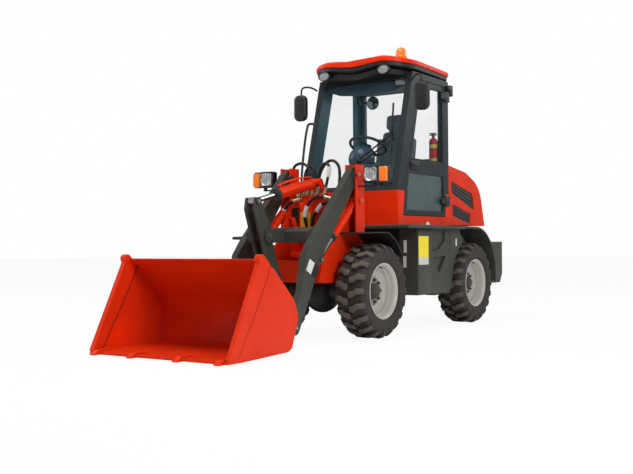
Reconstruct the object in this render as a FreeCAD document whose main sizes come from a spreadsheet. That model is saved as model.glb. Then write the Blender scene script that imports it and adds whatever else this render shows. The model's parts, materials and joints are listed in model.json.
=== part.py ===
"""A compact articulated wheel loader with a cab, as a parametric document.

Lengths are millimetres. +X points forward, +Y to the machine's left and +Z up. The origin is on the
ground under the middle of the machine. Every length in SIZES is a cell of the sheet, and the
sub-parts are bound to those cells.
"""
import FreeCAD, Part

import math
import os
from types import SimpleNamespace

import Sketcher

V = FreeCAD.Vector

SIZES = {
    # running gear
    "front_axle_x": 315,
    "wheel_base": 1805,
    "tyre_radius": 386,
    "tyre_width": 264,
    "tyre_centre_y": 470,
    "rim_radius": 212,
    "rim_flange_radius": 229,
    "rim_width": 236,
    "rim_wall": 15,
    "hub_radius": 62,
    "hub_reach": 50,
    "spindle_radius": 30,
    "axle_tube_radius": 52,
    "axle_case_radius": 72,
    "final_drive_radius": 95,
    "running_gap": 0.05,
    "face_gap": 0.3,
    # centre pivot
    "pivot_eye_radius": 75,
    "pivot_pin_radius": 30,
    "tongue_low": 545,
    "tongue_high": 655,
    "fork_gap": 6,
    "fork_plate": 40,
    # front frame
    "frame_low": 460,
    "frame_floor": 20,
    "cheek_inner_y": 275,
    "cheek_plate": 12,
    "arm_slot": 82,
    "tower_rear": 45,
    "tower_front": 87,
    "tower_top": 1421,
    "headlamp_drop": 159,
    "tower_cover": 15,
    "tower_foot": 865,
    "front_frame_rear": 402,
    # boom and its pins
    "boom_pin_x": 70,
    "boom_pin_z": 1340,
    "boom_eye_radius": 58,
    "arm_inner_y": 298,
    "arm_thickness": 60,
    "bucket_pin_x": 930,
    "bucket_pin_z": 150,
    "boom_pin_radius": 22,
    "rocker_pin_x": 855,
    "rocker_pin_z": 829,
    "rocker_pin_radius": 25,
    "rocker_boss_radius": 48,
    "rocker_half_width": 50,
    "rocker_plate": 18,
    "boom_lug_plate": 20,
    "rocker_top_x": 970,
    "rocker_top_z": 1100,
    "rocker_foot_x": 650,
    "rocker_foot_z": 346,
    "rocker_eye_radius": 42,
    "link_half_width": 26,
    "link_eye_radius": 34,
    "link_pin_radius": 18,
    "hitch_eye_x": 922,
    "hitch_eye_z": 301,
    # hydraulic cylinders
    "lift_base_x": 20,
    "lift_base_z": 1130,
    "lift_rod_eye_x": 575,
    "lift_rod_eye_z": 650,
    "lift_barrel_radius": 36,
    "lift_rod_radius": 18,
    "lift_neck": 130,
    "lift_barrel_end": 470,
    "tilt_base_x": 99,
    "tilt_base_z": 1288,
    "tilt_barrel_radius": 46,
    "tilt_rod_radius": 22,
    "tilt_neck": 95,
    "tilt_barrel_end": 590,
    "cylinder_pin_radius": 16,
    "cylinder_eye_radius": 32,
    "rod_eye_half_width": 20,
    "steering_base_back": 120,
    "steering_rod_eye": 400,
    "steering_y": 115,
    "steering_z": 745,
    "steering_pin_radius": 12,
    "steering_barrel_radius": 28,
    "steering_rod_radius": 14,
    # bucket
    "hitch_tube_radius": 45,
    "hitch_tube_gap": 5,
    "bucket_half_width": 620,
    "bucket_plate": 10,
    "bucket_edge_x": 2050,
    "bucket_edge_z": 14,
    "bucket_heel_x": 1374,
    "bucket_back_x": 1272,
    "bucket_top_x": 1684,
    "bucket_top_z": 668,
    # rear frame
    "deck_low": 905,
    "deck_top": 935,
    "deck_half_width": 600,
    "rail_y": 250,
    "rail_plate": 14,
    "rear_end_x": 2680,
    "counterweight_length": 330,
    "counterweight_half_width": 500,
    "counterweight_low": 360,
    "counterweight_top": 785,
    "frame_plate": 12,
    "engine_top": 1180,
    "tow_pin_back": 45,
    "tow_bore_radius": 16,
    "tow_bore_low": 440,
    "side_box_low": 315,
    "side_box_inner_y": 345,
    "side_box_outer_y": 530,
    "fender_radius": 470,
    "fender_plate": 18,
    "fender_overhang": 5,
    "fender_inner_y": 332,
    # cab
    "cab_front": 430,
    "cab_rear": 1420,
    "cab_half_width": 490,
    "cab_wall": 45,
    "cab_top": 2295,
    "sill_top": 1235,
    "windscreen_rake": 300,
    "door_gap": 6,
    "door_thickness": 35,
    "glass": 6,
    "door_hinge_radius": 13,
    "door_pin_radius": 7,
    "roof_half_width": 512,
    "roof_top": 2400,
    # controls
    "column_back": 755,
    "column_lean": 25,
    "steering_hub_z": 1665,
    "hub_depth": 55,
    "wheel_ring_radius": 165,
    "wheel_ring_thickness": 13,
    # hood
    "hood_half_width": 470,
    "hood_top": 1515,
    "hood_wall": 12,
    "hood_gap": 10,
    "hinge_radius": 9,
    "hinge_pin_radius": 5,
}

doc = FreeCAD.newDocument("wheel_loader")
sheet = doc.addObject("Spreadsheet::Sheet", "Sizes")
for row, (alias, length) in enumerate(SIZES.items(), 1):
    sheet.set(f"A{row}", alias)
    sheet.set(f"B{row}", str(length))
    sheet.setAlias(f"B{row}", alias)
doc.recompute()


class Size:
    """A length that carries both its number and the expression that the document binds to."""

    def __init__(self, number, text):
        self.number, self.text = float(number), text

    def __add__(self, other):
        other = sized(other)
        return Size(self.number + other.number, f"({self.text} + {other.text})")

    def __sub__(self, other):
        other = sized(other)
        return Size(self.number - other.number, f"({self.text} - {other.text})")

    def __mul__(self, factor):
        factor = sized(factor)
        return Size(self.number * factor.number, f"({self.text} * {factor.text})")

    def __truediv__(self, factor):
        factor = sized(factor)
        return Size(self.number / factor.number, f"({self.text} / {factor.text})")

    def __radd__(self, other):
        return sized(other) + self

    def __rsub__(self, other):
        return sized(other) - self

    def __rmul__(self, factor):
        return sized(factor) * self

    def __neg__(self):
        return Size(-self.number, f"(0 - {self.text})")


def sized(value):
    """The value as a Size."""
    return value if isinstance(value, Size) else Size(value, f"({value})")


def reach(run, rise):
    """The straight distance that a run and a rise make."""
    run, rise = sized(run), sized(rise)
    return Size(math.hypot(run.number, rise.number), f"sqrt({run.text}^2 + {rise.text}^2)")


s = SimpleNamespace(**{name: Size(length, f"Sizes.{name}") for name, length in SIZES.items()})

TURNS = {
    "x": FreeCAD.Rotation(V(0, 1, 0), 90),
    "y": FreeCAD.Rotation(V(1, 0, 0), -90),
    "z": FreeCAD.Rotation(),
}
NORMALS = {"XY": "z", "XZ": "y", "YZ": "x"}


def bind(obj, **sizes):
    for name, size in sizes.items():
        obj.setExpression(name, sized(size).text)


def place(obj, x=0, y=0, z=0):
    for axis, size in zip("xyz", (x, y, z)):
        obj.setExpression(f".Placement.Base.{axis}", sized(size).text)


def block(name, x, y, z):
    """A box between the lows and highs of x, y and z."""
    box = doc.addObject("Part::Box", name)
    for edge, (low, high) in zip(("Length", "Width", "Height"), (x, y, z)):
        box.setExpression(edge, (sized(high) - low).text)
    place(box, x[0], y[0], z[0])
    return box


def bar(name, along, centre, span, radius):
    """A round bar along one axis; centre gives its other two coordinates in x, y, z order."""
    rod = doc.addObject("Part::Cylinder", name)
    bind(rod, Radius=radius, Height=sized(span[1]) - span[0])
    rod.Placement.Rotation = TURNS[along]
    at = dict(zip([axis for axis in "xyz" if axis != along], centre))
    at[along] = span[0]
    place(rod, **at)
    return rod


def sketch(body, plane, points):
    """A closed outline; a point's third value is the radius of the arc that follows it.

    The arc turns left on its way to the next point where that radius is positive.
    """
    outline = body.newObject("Sketcher::SketchObject", body.Name + "_outline")
    role = plane + "_Plane"
    support = next(feature for feature in body.Origin.OriginFeatures if feature.Role == role)
    outline.AttachmentSupport = [(support, "")]
    outline.MapMode = "FlatFace"
    corners = [V(sized(point[0]).number, sized(point[1]).number, 0) for point in points]
    ends = []
    for index, point in enumerate(points):
        here, there = corners[index], corners[(index + 1) % len(points)]
        if len(point) == 2:
            outline.addGeometry(Part.LineSegment(here, there), False)
            ends.append((1, 2))
            continue
        radius = sized(point[2]).number
        chord = there - here
        height = math.sqrt(max(radius**2 - chord.Length**2 / 4, 0))
        left = V(-chord.y, chord.x, 0).normalize()
        middle = (here + there) / 2 + left * math.copysign(height, radius)
        first, last = (here, there) if radius > 0 else (there, here)
        turns = [math.atan2(end.y - middle.y, end.x - middle.x) for end in (first, last)]
        circle = Part.Circle(middle, V(0, 0, 1), abs(radius))
        outline.addGeometry(Part.ArcOfCircle(circle, *turns), False)
        ends.append((1, 2) if radius > 0 else (2, 1))
    count = len(points)
    for index in range(count):
        after = (index + 1) % count
        joined = Sketcher.Constraint("Coincident", index, ends[index][1], after, ends[after][0])
        outline.addConstraint(joined)
    for index, point in enumerate(points):
        for kind, value in zip(("DistanceX", "DistanceY"), point):
            fixed = Sketcher.Constraint(kind, -1, 1, index, ends[index][0], sized(value).number)
            number = outline.addConstraint(fixed)
            outline.setExpression(f"Constraints[{number}]", sized(value).text)
        if len(point) > 2:
            radius = sized(point[2])
            if radius.number < 0:
                radius = -radius
            fixed = Sketcher.Constraint("Radius", index, radius.number)
            number = outline.addConstraint(fixed)
            outline.setExpression(f"Constraints[{number}]", radius.text)
    return outline


def prism(name, plane, points, span):
    """An outline in one plane, padded between the two ends of span."""
    body = doc.addObject("PartDesign::Body", name)
    pad = body.newObject("PartDesign::Pad", name + "_pad")
    pad.Profile = sketch(body, plane, points)
    low, high = span
    bind(pad, Length=sized(high) - low)
    place(body, **{NORMALS[plane]: high if plane == "XZ" else low})
    return body


def turned(name, points, x, y, z):
    """A ring about an axis along Y, from points of (place along Y, radius)."""
    body = doc.addObject("PartDesign::Body", name)
    ring = body.newObject("PartDesign::Revolution", name + "_turn")
    outline = sketch(body, "YZ", points)
    ring.Profile = outline
    ring.ReferenceAxis = (outline, ["H_Axis"])
    ring.Angle = 360
    place(body, x, y, z)
    return body


def fuse(name, *parts):
    joined = doc.addObject("Part::MultiFuse", name)
    joined.Shapes = list(parts)
    return joined


def cut(name, base, *tools):
    left = doc.addObject("Part::Cut", name)
    left.Base = base
    left.Tool = tools[0] if len(tools) == 1 else fuse(name + "_tools", *tools)
    return left


def mirrored(name, source):
    """The source on the machine's other side."""
    other = doc.addObject("Part::Mirroring", name)
    other.Source = source
    other.Normal = V(0, 1, 0)
    return other


def group(name, *parts):
    """Like pieces on one body, as solids that don't touch."""
    pieces = doc.addObject("Part::Compound", name)
    pieces.Links = list(parts)
    return pieces


def pair(name, source):
    return group(name, source, mirrored(name + "_right", source))


def aim(obj, start, end, y=0):
    """Puts an object made along +X at start, turned about Y so that it points at end."""
    run, rise = sized(end[0]) - start[0], sized(end[1]) - start[1]
    obj.Placement.Rotation = FreeCAD.Rotation(V(0, 1, 0), 1)
    obj.setExpression(".Placement.Rotation.Angle", f"atan2({(-rise).text}; {run.text})")
    place(obj, start[0], y, start[1])
    return obj


nodes = {}


def node(obj, name):
    """Names the finished sub-part and keeps it for the checks and the export."""
    obj.Label = name
    nodes[name] = obj
    return obj


# Places that several sub-parts share.
front_x = s.front_axle_x
rear_x = front_x - s.wheel_base
pivot_x = front_x - s.wheel_base / 2
axle_z = s.tyre_radius
boom_pin = (front_x + s.boom_pin_x, s.boom_pin_z)
bucket_pin = (front_x + s.bucket_pin_x, s.bucket_pin_z)
rocker_pin = (front_x + s.rocker_pin_x, s.rocker_pin_z)
rocker_top = (front_x + s.rocker_top_x, s.rocker_top_z)
rocker_foot = (front_x + s.rocker_foot_x, s.rocker_foot_z)
hitch_eye = (front_x + s.hitch_eye_x, s.hitch_eye_z)
lift_base = (front_x + s.lift_base_x, s.lift_base_z)
lift_eye = (front_x + s.lift_rod_eye_x, s.lift_rod_eye_z)
tilt_base = (front_x + s.tilt_base_x, s.tilt_base_z)
arm_y = (s.arm_inner_y, s.arm_inner_y + s.arm_thickness)
arm_middle = s.arm_inner_y + s.arm_thickness / 2
cab_front_x = front_x - s.cab_front
cab_rear_x = front_x - s.cab_rear
door_hinge = (cab_rear_x + 70 + s.door_gap / 2, s.cab_half_width + 17)
hinge_heights = {"low": s.sill_top - 70, "high": s.cab_top - 150}
hood_hinge = (cab_rear_x - s.hood_gap - 8, s.hood_top + 9)
cab_floor = s.deck_top + 20


def wheel(name, x, side):
    """A tyre on its rim; the wheel's outer face looks along +Y times side."""
    centre_y = s.tyre_centre_y * side
    half, tread = s.tyre_width / 2, s.tyre_radius
    rise = s.rim_radius
    tyre_side = [
        (half - 34, rise),
        (half - 30, rise + 10),
        (half - 4, rise + 50),
        (half, rise + 98),
        (half - 12, rise + 152),
        (half - 34, tread),
    ]
    profile = tyre_side + [(-along, radius) for along, radius in reversed(tyre_side)]
    node(turned(name + "_tyre", profile, x, centre_y, axle_z), name + "_tyre")
    edge, bead, wall = s.rim_width / 2, s.rim_radius, s.rim_wall
    inside = bead - wall
    bore = s.spindle_radius + s.running_gap
    rim = [
        (-s.hub_reach, bore),
        (20, bore),
        (20, 0),
        (42, 0),
        (42, s.hub_radius - 10),
        (34, s.hub_radius),
        (-8, s.hub_radius + 6),
        (-12, s.hub_radius + 60),
        (0, inside - 12),
        (0, inside),
        (edge - 10, inside),
        (edge, inside + 10),
        (edge, s.rim_flange_radius),
        (edge - 8, s.rim_flange_radius),
        (edge - 14, bead),
        (14 - edge, bead),
        (8 - edge, s.rim_flange_radius),
        (-edge, s.rim_flange_radius),
        (-edge, inside + 10),
        (10 - edge, inside),
        (-28, inside),
        (-28, s.hub_radius),
        (-s.hub_reach, s.hub_radius),
    ]
    outward = [(along * side, radius) for along, radius in rim]
    node(turned(name + "_rim", outward, x, centre_y, axle_z), name + "_rim")


def axle(name, x):
    """A rigid drive axle: case, tubes, final drives and the spindles that carry the wheels."""
    drive_end = s.tyre_centre_y - s.hub_reach - s.face_gap
    spindle_end = s.tyre_centre_y + 15
    parts = [
        bar(name + "_tube", "y", (x, axle_z), (-drive_end, drive_end), s.axle_tube_radius),
        bar(name + "_spindle", "y", (x, axle_z), (-spindle_end, spindle_end), s.spindle_radius),
        bar(name + "_case", "y", (x, axle_z), (-90, 90), s.axle_case_radius),
        bar(name + "_nose", "x", (0, axle_z), (x - 150, x + 110), s.axle_case_radius - 12),
    ]
    for side in (-1, 1):
        ends = sorted((drive_end * side, (drive_end - 75) * side), key=lambda size: size.number)
        reel = bar(f"{name}_drive_{side + 1}", "y", (x, axle_z), ends, s.final_drive_radius)
        low, high = sorted((s.tyre_centre_y * side - 260 * side, s.tyre_centre_y * side - 320 * side),
                           key=lambda size: size.number)
        pad = block(f"{name}_pad_{side + 1}", (x - 60, x + 60), (low, high), (axle_z, s.frame_low))
        parts += [reel, pad]
    node(fuse(name, *parts), name)


def front_frame():
    """Side plates, floor, tower cheeks and the tongue that reaches back to the centre pivot."""
    inner, plate = s.cheek_inner_y, s.cheek_plate
    outer = inner + plate + s.arm_slot
    rear, front = front_x - s.tower_rear, front_x + s.tower_front
    low, back = s.frame_low, front_x - s.front_frame_rear
    side = [
        (rear, s.tower_top),
        (rear, 1000),
        (front_x - 150, 800),
        (back, 720),
        (back, low),
        (front_x + 410, low),
        (front_x + 500, 480),
        (front_x + 420, 660),
        (front_x + 250, 820),
        (front, 1120),
        (front, s.tower_top),
    ]
    cover_low = s.tower_top - s.tower_cover
    left = fuse(
        "left_tower",
        prism("left_side_plate", "XZ", side, (inner, inner + plate)),
        block("left_cheek", (rear, front), (outer, outer + plate), (s.tower_foot, s.tower_top)),
        block("left_cover", (rear, front - 70), (inner, outer + plate), (cover_low, s.tower_top)),
        block("left_tower_back", (rear, rear + 15), (inner, outer + plate), (s.tower_foot, s.tower_top)),
    )
    parts = [
        left,
        mirrored("right_tower", left),
        block("frame_floor_plate", (back, front_x + 410), (-inner, inner), (low, low + s.frame_floor)),
        block("frame_rear_plate", (back, back + 15), (-inner, inner), (low, 720)),
        block("frame_front_plate", (front_x + 390, front_x + 405), (-inner, inner), (low, 640)),
        block("tower_plate", (front - 15, front), (-inner, inner), (700, 1150)),
        block("tower_beam", (front_x - 20, front_x + 40), (-inner, inner), (1120, 1180)),
        block("tongue", (pivot_x, back + 5), (-s.pivot_eye_radius, s.pivot_eye_radius),
              (s.tongue_low, s.tongue_high)),
        bar("tongue_eye", "z", (pivot_x, 0), (s.tongue_low, s.tongue_high), s.pivot_eye_radius),
    ]
    for name, y in (("lug_left", (32, 48)), ("lug_right", (-48, -32))):
        lug = [
            (front_x - 20, 1170),
            (front_x + 40, 1170),
            (tilt_base[0] + 34, s.tilt_base_z),
            (tilt_base[0] - 34, s.tilt_base_z),
        ]
        parts.append(prism("tilt_" + name, "XZ", lug, y))
        parts.append(bar("tilt_eye_" + name, "y", tilt_base, y, 34))
    rod_pin_x = pivot_x + s.steering_rod_eye
    shelf_z = (s.steering_z - 55, s.steering_z - 33)
    parts.append(block("steering_shelf", (rod_pin_x - 35, back + 5), (-s.steering_y - 35, 0), shelf_z))
    parts.append(block("steering_shelf_web", (rod_pin_x - 10, back + 5), (-60, -40), (s.tongue_high - 5, s.steering_z - 45)))
    solid = fuse("front_frame_solid", *parts)
    holes = [
        bar("pivot_bore", "z", (pivot_x, 0), (s.tongue_low - 1, s.tongue_high + 1),
            s.pivot_pin_radius + s.running_gap),
        bar("boom_pin_bore", "y", boom_pin, (-s.deck_half_width, s.deck_half_width), s.boom_pin_radius + s.running_gap),
        bar("lift_pin_bore", "y", lift_base, (-s.deck_half_width, s.deck_half_width), s.cylinder_pin_radius),
        bar("tilt_pin_bore", "y", tilt_base, (-100, 100), s.cylinder_pin_radius),
    ]
    node(cut("front_frame", solid, *holes), "front_frame")


def boom():
    """Two bent arms, the beam between them, the rocker's lugs and the pins that turn in the tower."""
    radius = s.boom_eye_radius
    outline = [
        (boom_pin[0] + 41, boom_pin[1] + 41),
        (front_x + 689, 803),
        (front_x + 786, 689),
        (front_x + 843, 424),
        (bucket_pin[0] + 50, bucket_pin[1] + 29),
        (bucket_pin[0] - 50, bucket_pin[1] - 29),
        (front_x + 749, 343),
        (front_x + 593, 631),
        (front_x + 520, 725),
        (boom_pin[0] - 41, boom_pin[1] - 41),
    ]
    arm = fuse(
        "arm_solid",
        prism("arm_plate", "XZ", outline, arm_y),
        bar("arm_top_eye", "y", boom_pin, arm_y, radius),
        bar("arm_foot_eye", "y", bucket_pin, arm_y, radius),
    )
    slot = (arm_middle - s.rod_eye_half_width - 3, arm_middle + s.rod_eye_half_width + 3)
    notch = [
        (lift_eye[0] + 38, lift_eye[1] + 45),
        (lift_eye[0] - 150, lift_eye[1] + 200),
        (lift_eye[0] - 260, lift_eye[1] + 100),
        (lift_eye[0] - 20, lift_eye[1] - 80),
        (lift_eye[0] + 45, lift_eye[1] - 45),
    ]
    arm_cut = cut(
        "arm",
        arm,
        prism("rod_notch", "XZ", notch, slot),
        bar("bucket_pin_bore", "y", bucket_pin, (arm_y[0] - 1, arm_y[1] + 1),
            s.boom_pin_radius + s.running_gap),
    )
    gap_y = s.cheek_inner_y + s.cheek_plate + s.arm_slot + s.cheek_plate
    pin = bar("boom_pin", "y", boom_pin, (s.cheek_inner_y - 8, gap_y + 8), s.boom_pin_radius)
    beam = [
        (front_x + 560, 800),
        (front_x + 668, 785),
        (front_x + 676, 872),
        (front_x + 576, 905),
    ]
    parts = [arm_cut, mirrored("arm_right", arm_cut), pin, mirrored("boom_pin_right", pin)]
    parts.append(prism("cross_beam", "XZ", beam, (-arm_y[0], arm_y[0])))
    lug_in = s.rocker_half_width + 4
    lug = [
        (front_x + 600, 795),
        (rocker_pin[0], rocker_pin[1] - 50),
        (rocker_pin[0], rocker_pin[1] + 50),
        (front_x + 600, 895),
    ]
    for name, y in (("left", (lug_in, lug_in + s.boom_lug_plate)), ("right", (-lug_in - s.boom_lug_plate, -lug_in))):
        parts.append(prism("rocker_lug_" + name, "XZ", lug, y))
        parts.append(bar("rocker_lug_eye_" + name, "y", rocker_pin, y, 50))
    bore = bar("rocker_lug_bore", "y", rocker_pin, (-120, 120), s.rocker_pin_radius + s.running_gap)
    node(cut("boom", fuse("boom_solid", *parts), bore), "boom")


def rocker():
    """Two plates on a boss: the tilt cylinder pulls the top and the link hangs from the foot."""
    half, plate = s.rocker_half_width, s.rocker_plate
    outline = [
        (rocker_top[0] + 34, rocker_top[1] + 28),
        (rocker_top[0] - 38, rocker_top[1] + 22),
        (rocker_top[0] - 48, rocker_top[1] - 22),
        (rocker_pin[0] - 55, rocker_pin[1] + 60),
        (rocker_pin[0] - 62, rocker_pin[1] - 40),
        (rocker_foot[0] - 36, rocker_foot[1] + 16),
        (rocker_foot[0] + 36, rocker_foot[1] - 16),
        (rocker_pin[0] + 40, rocker_pin[1] - 150),
        (rocker_top[0] + 52, rocker_top[1] - 60),
    ]
    plates = []
    for name, y in (("left", (half - plate, half)), ("right", (-half, plate - half))):
        plates.append(prism("rocker_plate_" + name, "XZ", outline, y))
        plates.append(bar("rocker_foot_eye_" + name, "y", rocker_foot, y, s.rocker_eye_radius))
    boss = bar("rocker_boss", "y", rocker_pin, (-half, half), s.rocker_boss_radius)
    solid = fuse("rocker_solid", boss, *plates)
    node(
        cut(
            "rocker",
            solid,
            bar("rocker_bore", "y", rocker_pin, (-half - 1, half + 1), s.rocker_pin_radius + s.running_gap),
            bar("rocker_foot_bore", "y", rocker_foot, (-half - 1, half + 1), s.link_pin_radius + s.running_gap),
        ),
        "rocker",
    )
    reach_y = half + 4 + s.boom_lug_plate + 6
    node(bar("rocker_pin_bar", "y", rocker_pin, (-reach_y, reach_y), s.rocker_pin_radius), "rocker_pin")
    node(bar("link_pin_bar", "y", rocker_foot, (-half - 6, half + 6), s.link_pin_radius), "link_pin")


def tilt_link():
    """A straight link from the rocker's foot to the quick hitch."""
    half, eye = s.link_half_width, s.link_eye_radius
    run, rise = hitch_eye[0] - rocker_foot[0], hitch_eye[1] - rocker_foot[1]
    length = reach(run, rise)
    solid = fuse(
        "link_solid",
        block("link_shank", (0, length), (-half, half), (-22, 22)),
        bar("link_rear_eye", "y", (0, 0), (-half, half), eye),
        bar("link_front_eye", "y", (length, 0), (-half, half), eye),
    )
    bored = cut("tilt_link", solid, bar("link_bore", "y", (0, 0), (-half - 1, half + 1),
                                        s.link_pin_radius + s.running_gap))
    node(aim(bored, rocker_foot, hitch_eye), "tilt_link")


def lift_cylinders():
    """The pair that raises the boom: barrels on the tower, rods to the arms."""
    run, rise = lift_eye[0] - lift_base[0], lift_eye[1] - lift_base[1]
    length = reach(run, rise)
    pin_end = (s.arm_slot / 2 + s.cheek_plate)
    eye_y = (-s.arm_thickness / 2 + 4, s.arm_thickness / 2 - 4)
    barrel = fuse(
        "lift_barrel_solid",
        bar("lift_barrel_tube", "x", (0, 0), (s.lift_neck, s.lift_barrel_end), s.lift_barrel_radius),
        bar("lift_barrel_neck", "x", (0, 0), (10, s.lift_neck), 26),
        bar("lift_barrel_eye", "y", (0, 0), eye_y, s.cylinder_eye_radius),
        bar("lift_barrel_pin", "y", (0, 0), (-pin_end, pin_end), s.cylinder_pin_radius - s.running_gap),
    )
    bored = cut("lift_barrel", barrel, bar("lift_barrel_bore", "x", (0, 0),
                                           (s.lift_neck + 20, s.lift_barrel_end + 1),
                                           s.lift_rod_radius + s.running_gap))
    centre = s.cheek_inner_y + s.cheek_plate + s.arm_slot / 2
    aim(bored, lift_base, lift_eye, centre)
    node(pair("lift_barrels", bored), "lift_barrels")
    half = s.rod_eye_half_width
    rod = fuse(
        "lift_rod",
        bar("lift_rod_bar", "x", (0, 0), (s.lift_neck + 40, length - 20), s.lift_rod_radius),
        bar("lift_rod_eye", "y", (length, 0), (-half, half), s.cylinder_eye_radius),
    )
    aim(rod, lift_base, lift_eye, arm_middle)
    node(pair("lift_rods", rod), "lift_rods")


def tilt_cylinder():
    run, rise = rocker_top[0] - tilt_base[0], rocker_top[1] - tilt_base[1]
    length = reach(run, rise)
    barrel = fuse(
        "tilt_barrel_solid",
        bar("tilt_barrel_tube", "x", (0, 0), (s.tilt_neck, s.tilt_barrel_end), s.tilt_barrel_radius),
        bar("tilt_barrel_neck", "x", (0, 0), (10, s.tilt_neck), 26),
        bar("tilt_barrel_eye", "y", (0, 0), (-29, 29), s.cylinder_eye_radius),
        bar("tilt_barrel_pin", "y", (0, 0), (-48, 48), s.cylinder_pin_radius - s.running_gap),
    )
    bored = cut("tilt_barrel", barrel, bar("tilt_barrel_bore", "x", (0, 0),
                                           (s.tilt_neck + 20, s.tilt_barrel_end + 1),
                                           s.tilt_rod_radius + s.running_gap))
    node(aim(bored, tilt_base, rocker_top), "tilt_barrel")
    half = s.rocker_half_width - s.rocker_plate - 4
    rod = fuse(
        "tilt_rod",
        bar("tilt_rod_bar", "x", (0, 0), (s.tilt_neck + 80, length - 20), s.tilt_rod_radius),
        bar("tilt_rod_eye", "y", (length, 0), (-half, half), s.cylinder_eye_radius),
    )
    node(aim(rod, tilt_base, rocker_top), "tilt_rod")


def steering_cylinder():
    """Lies beside the tongue and pushes the front frame about the centre pivot."""
    start = pivot_x - s.steering_base_back
    end = pivot_x + s.steering_rod_eye
    y, z = -s.steering_y, s.steering_z
    barrel = fuse(
        "steering_barrel_solid",
        bar("steering_barrel_tube", "x", (y, z), (start + 30, start + 350), s.steering_barrel_radius),
        bar("steering_barrel_eye", "z", (start, y), (z - 25, z + 25), 26),
        bar("steering_barrel_neck", "x", (y, z), (start + 10, start + 40), 18),
    )
    node(
        cut(
            "steering_barrel",
            barrel,
            bar("steering_barrel_bore", "x", (y, z), (start + 60, start + 351), s.steering_rod_radius + s.running_gap),
            bar("steering_pin_bore", "z", (start, y), (z - 30, z + 30),
                s.steering_pin_radius + s.running_gap),
        ),
        "steering_barrel",
    )
    rod = fuse(
        "steering_rod_solid",
        bar("steering_rod_bar", "x", (y, z), (start + 165, end - 15), s.steering_rod_radius),
        bar("steering_rod_eye", "z", (end, y), (z - 24, z + 24), 24),
    )
    node(rod, "steering_rod")


def bucket():
    """A shell with end plates, a cutting edge and ears, and the quick hitch that carries it."""
    half, plate = s.bucket_half_width, s.bucket_plate
    edge_x, edge_z = front_x + s.bucket_edge_x, s.bucket_edge_z
    heel_x, back_x = front_x + s.bucket_heel_x, front_x + s.bucket_back_x
    top_x, top_z = front_x + s.bucket_top_x, s.bucket_top_z
    outline = [
        (edge_x, edge_z),
        (edge_x - 4, edge_z + 20),
        (top_x + 26, top_z),
        (top_x, top_z + 8),
        (top_x - 130, 606),
        (back_x + 60, 400, 240),
        (back_x + 3, 244),
        (back_x + 38, 150),
        (heel_x - 30, 58, 120),
        (heel_x + 40, edge_z + 16),
        (edge_x - 150, edge_z),
    ]
    hollow = [
        (edge_x + 20, edge_z + 18),
        (edge_x + 20, top_z + 60),
        (top_x + 12, top_z + 60),
        (top_x + 2, top_z - 2),
        (top_x - 122, 598),
        (back_x + 68, 392, 230),
        (back_x + 3 + plate, 246),
        (back_x + 36 + plate, 156),
        (heel_x - 26, 68, 110),
        (heel_x + 40, edge_z + 16 + plate),
    ]
    shell = cut(
        "bucket_shell",
        prism("bucket_solid", "XZ", outline, (-half, half)),
        prism("bucket_hollow", "XZ", hollow, (plate - half, half - plate)),
    )
    teeth = []
    for index, centre in enumerate((-half + 62, -half / 3, half / 3, half - 62)):
        tooth = [
            (edge_x - 120, edge_z + 34),
            (edge_x - 120, edge_z),
            (edge_x + 38, edge_z - 4),
            (edge_x + 38, edge_z + 3),
            (edge_x - 4, edge_z + 30),
        ]
        teeth.append(prism(f"bucket_tooth_{index}", "XZ", tooth, (centre - 24, centre + 24)))
    ribs = []
    for index, centre in enumerate((-340, 340)):
        rib = [
            (back_x - 4, 110),
            (back_x - 4, 420),
            (back_x + 120, 500),
            (back_x + 120, 110),
        ]
        ribs.append(prism(f"bucket_rib_{index}", "XZ", rib, (centre - 8, centre + 8)))
    ribbed = cut(
        "bucket_ribbed",
        fuse("bucket_parts", shell, *ribs),
        prism("bucket_hollow_again", "XZ", hollow, (plate - half, half - plate)),
    )
    node(fuse("bucket_body", ribbed, *teeth), "bucket")
    hitch_in, hitch_out = arm_y[0] - 27, arm_y[0] - 5
    side = [
        (bucket_pin[0] - 60, bucket_pin[1]),
        (bucket_pin[0], bucket_pin[1] - 60),
        (back_x - 60, 95),
        (back_x - 10, 120),
        (back_x - 10, 440),
        (back_x - 60, 480),
        (bucket_pin[0] + 60, bucket_pin[1] + 60),
    ]
    left = fuse(
        "hitch_left",
        prism("hitch_side", "XZ", side, (hitch_in, hitch_out)),
        block("hitch_foot", (back_x - 40, back_x - 4), (hitch_in, 348), (120, 180)),
    )
    parts = [left, mirrored("hitch_right", left)]
    parts.append(block("hitch_face", (back_x - 30, back_x - 10), (-hitch_out, hitch_out), (330, 440)))
    parts.append(block("hitch_low", (back_x - 40, back_x - 10), (-hitch_out, hitch_out), (110, 180)))
    for name, y in (("left", (30, 48)), ("right", (-48, -30))):
        lug = [
            (hitch_eye[0], hitch_eye[1] - 38),
            (back_x - 20, 300),
            (back_x - 20, 440),
            (hitch_eye[0], hitch_eye[1] + 38),
        ]
        parts.append(prism("hitch_lug_" + name, "XZ", lug, y))
        parts.append(bar("hitch_lug_eye_" + name, "y", hitch_eye, y, 38))
    solid = fuse("hitch_solid", *parts)
    node(
        cut(
            "quick_hitch",
            solid,
            bar("hitch_bore", "y", bucket_pin, (-arm_y[1], arm_y[1]), s.boom_pin_radius + s.running_gap),
            bar("hitch_eye_bore", "y", hitch_eye, (-100, 100), s.link_pin_radius),
        ),
        "quick_hitch",
    )
    reach_y, tube_y = arm_y[1] + 6, hitch_in - s.hitch_tube_gap
    shaft = fuse(
        "hitch_shaft",
        bar("hitch_pin", "y", bucket_pin, (-reach_y, reach_y), s.boom_pin_radius),
        bar("hitch_tube", "y", bucket_pin, (-tube_y, tube_y), s.hitch_tube_radius),
    )
    node(shaft, "hitch_pins")


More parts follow.
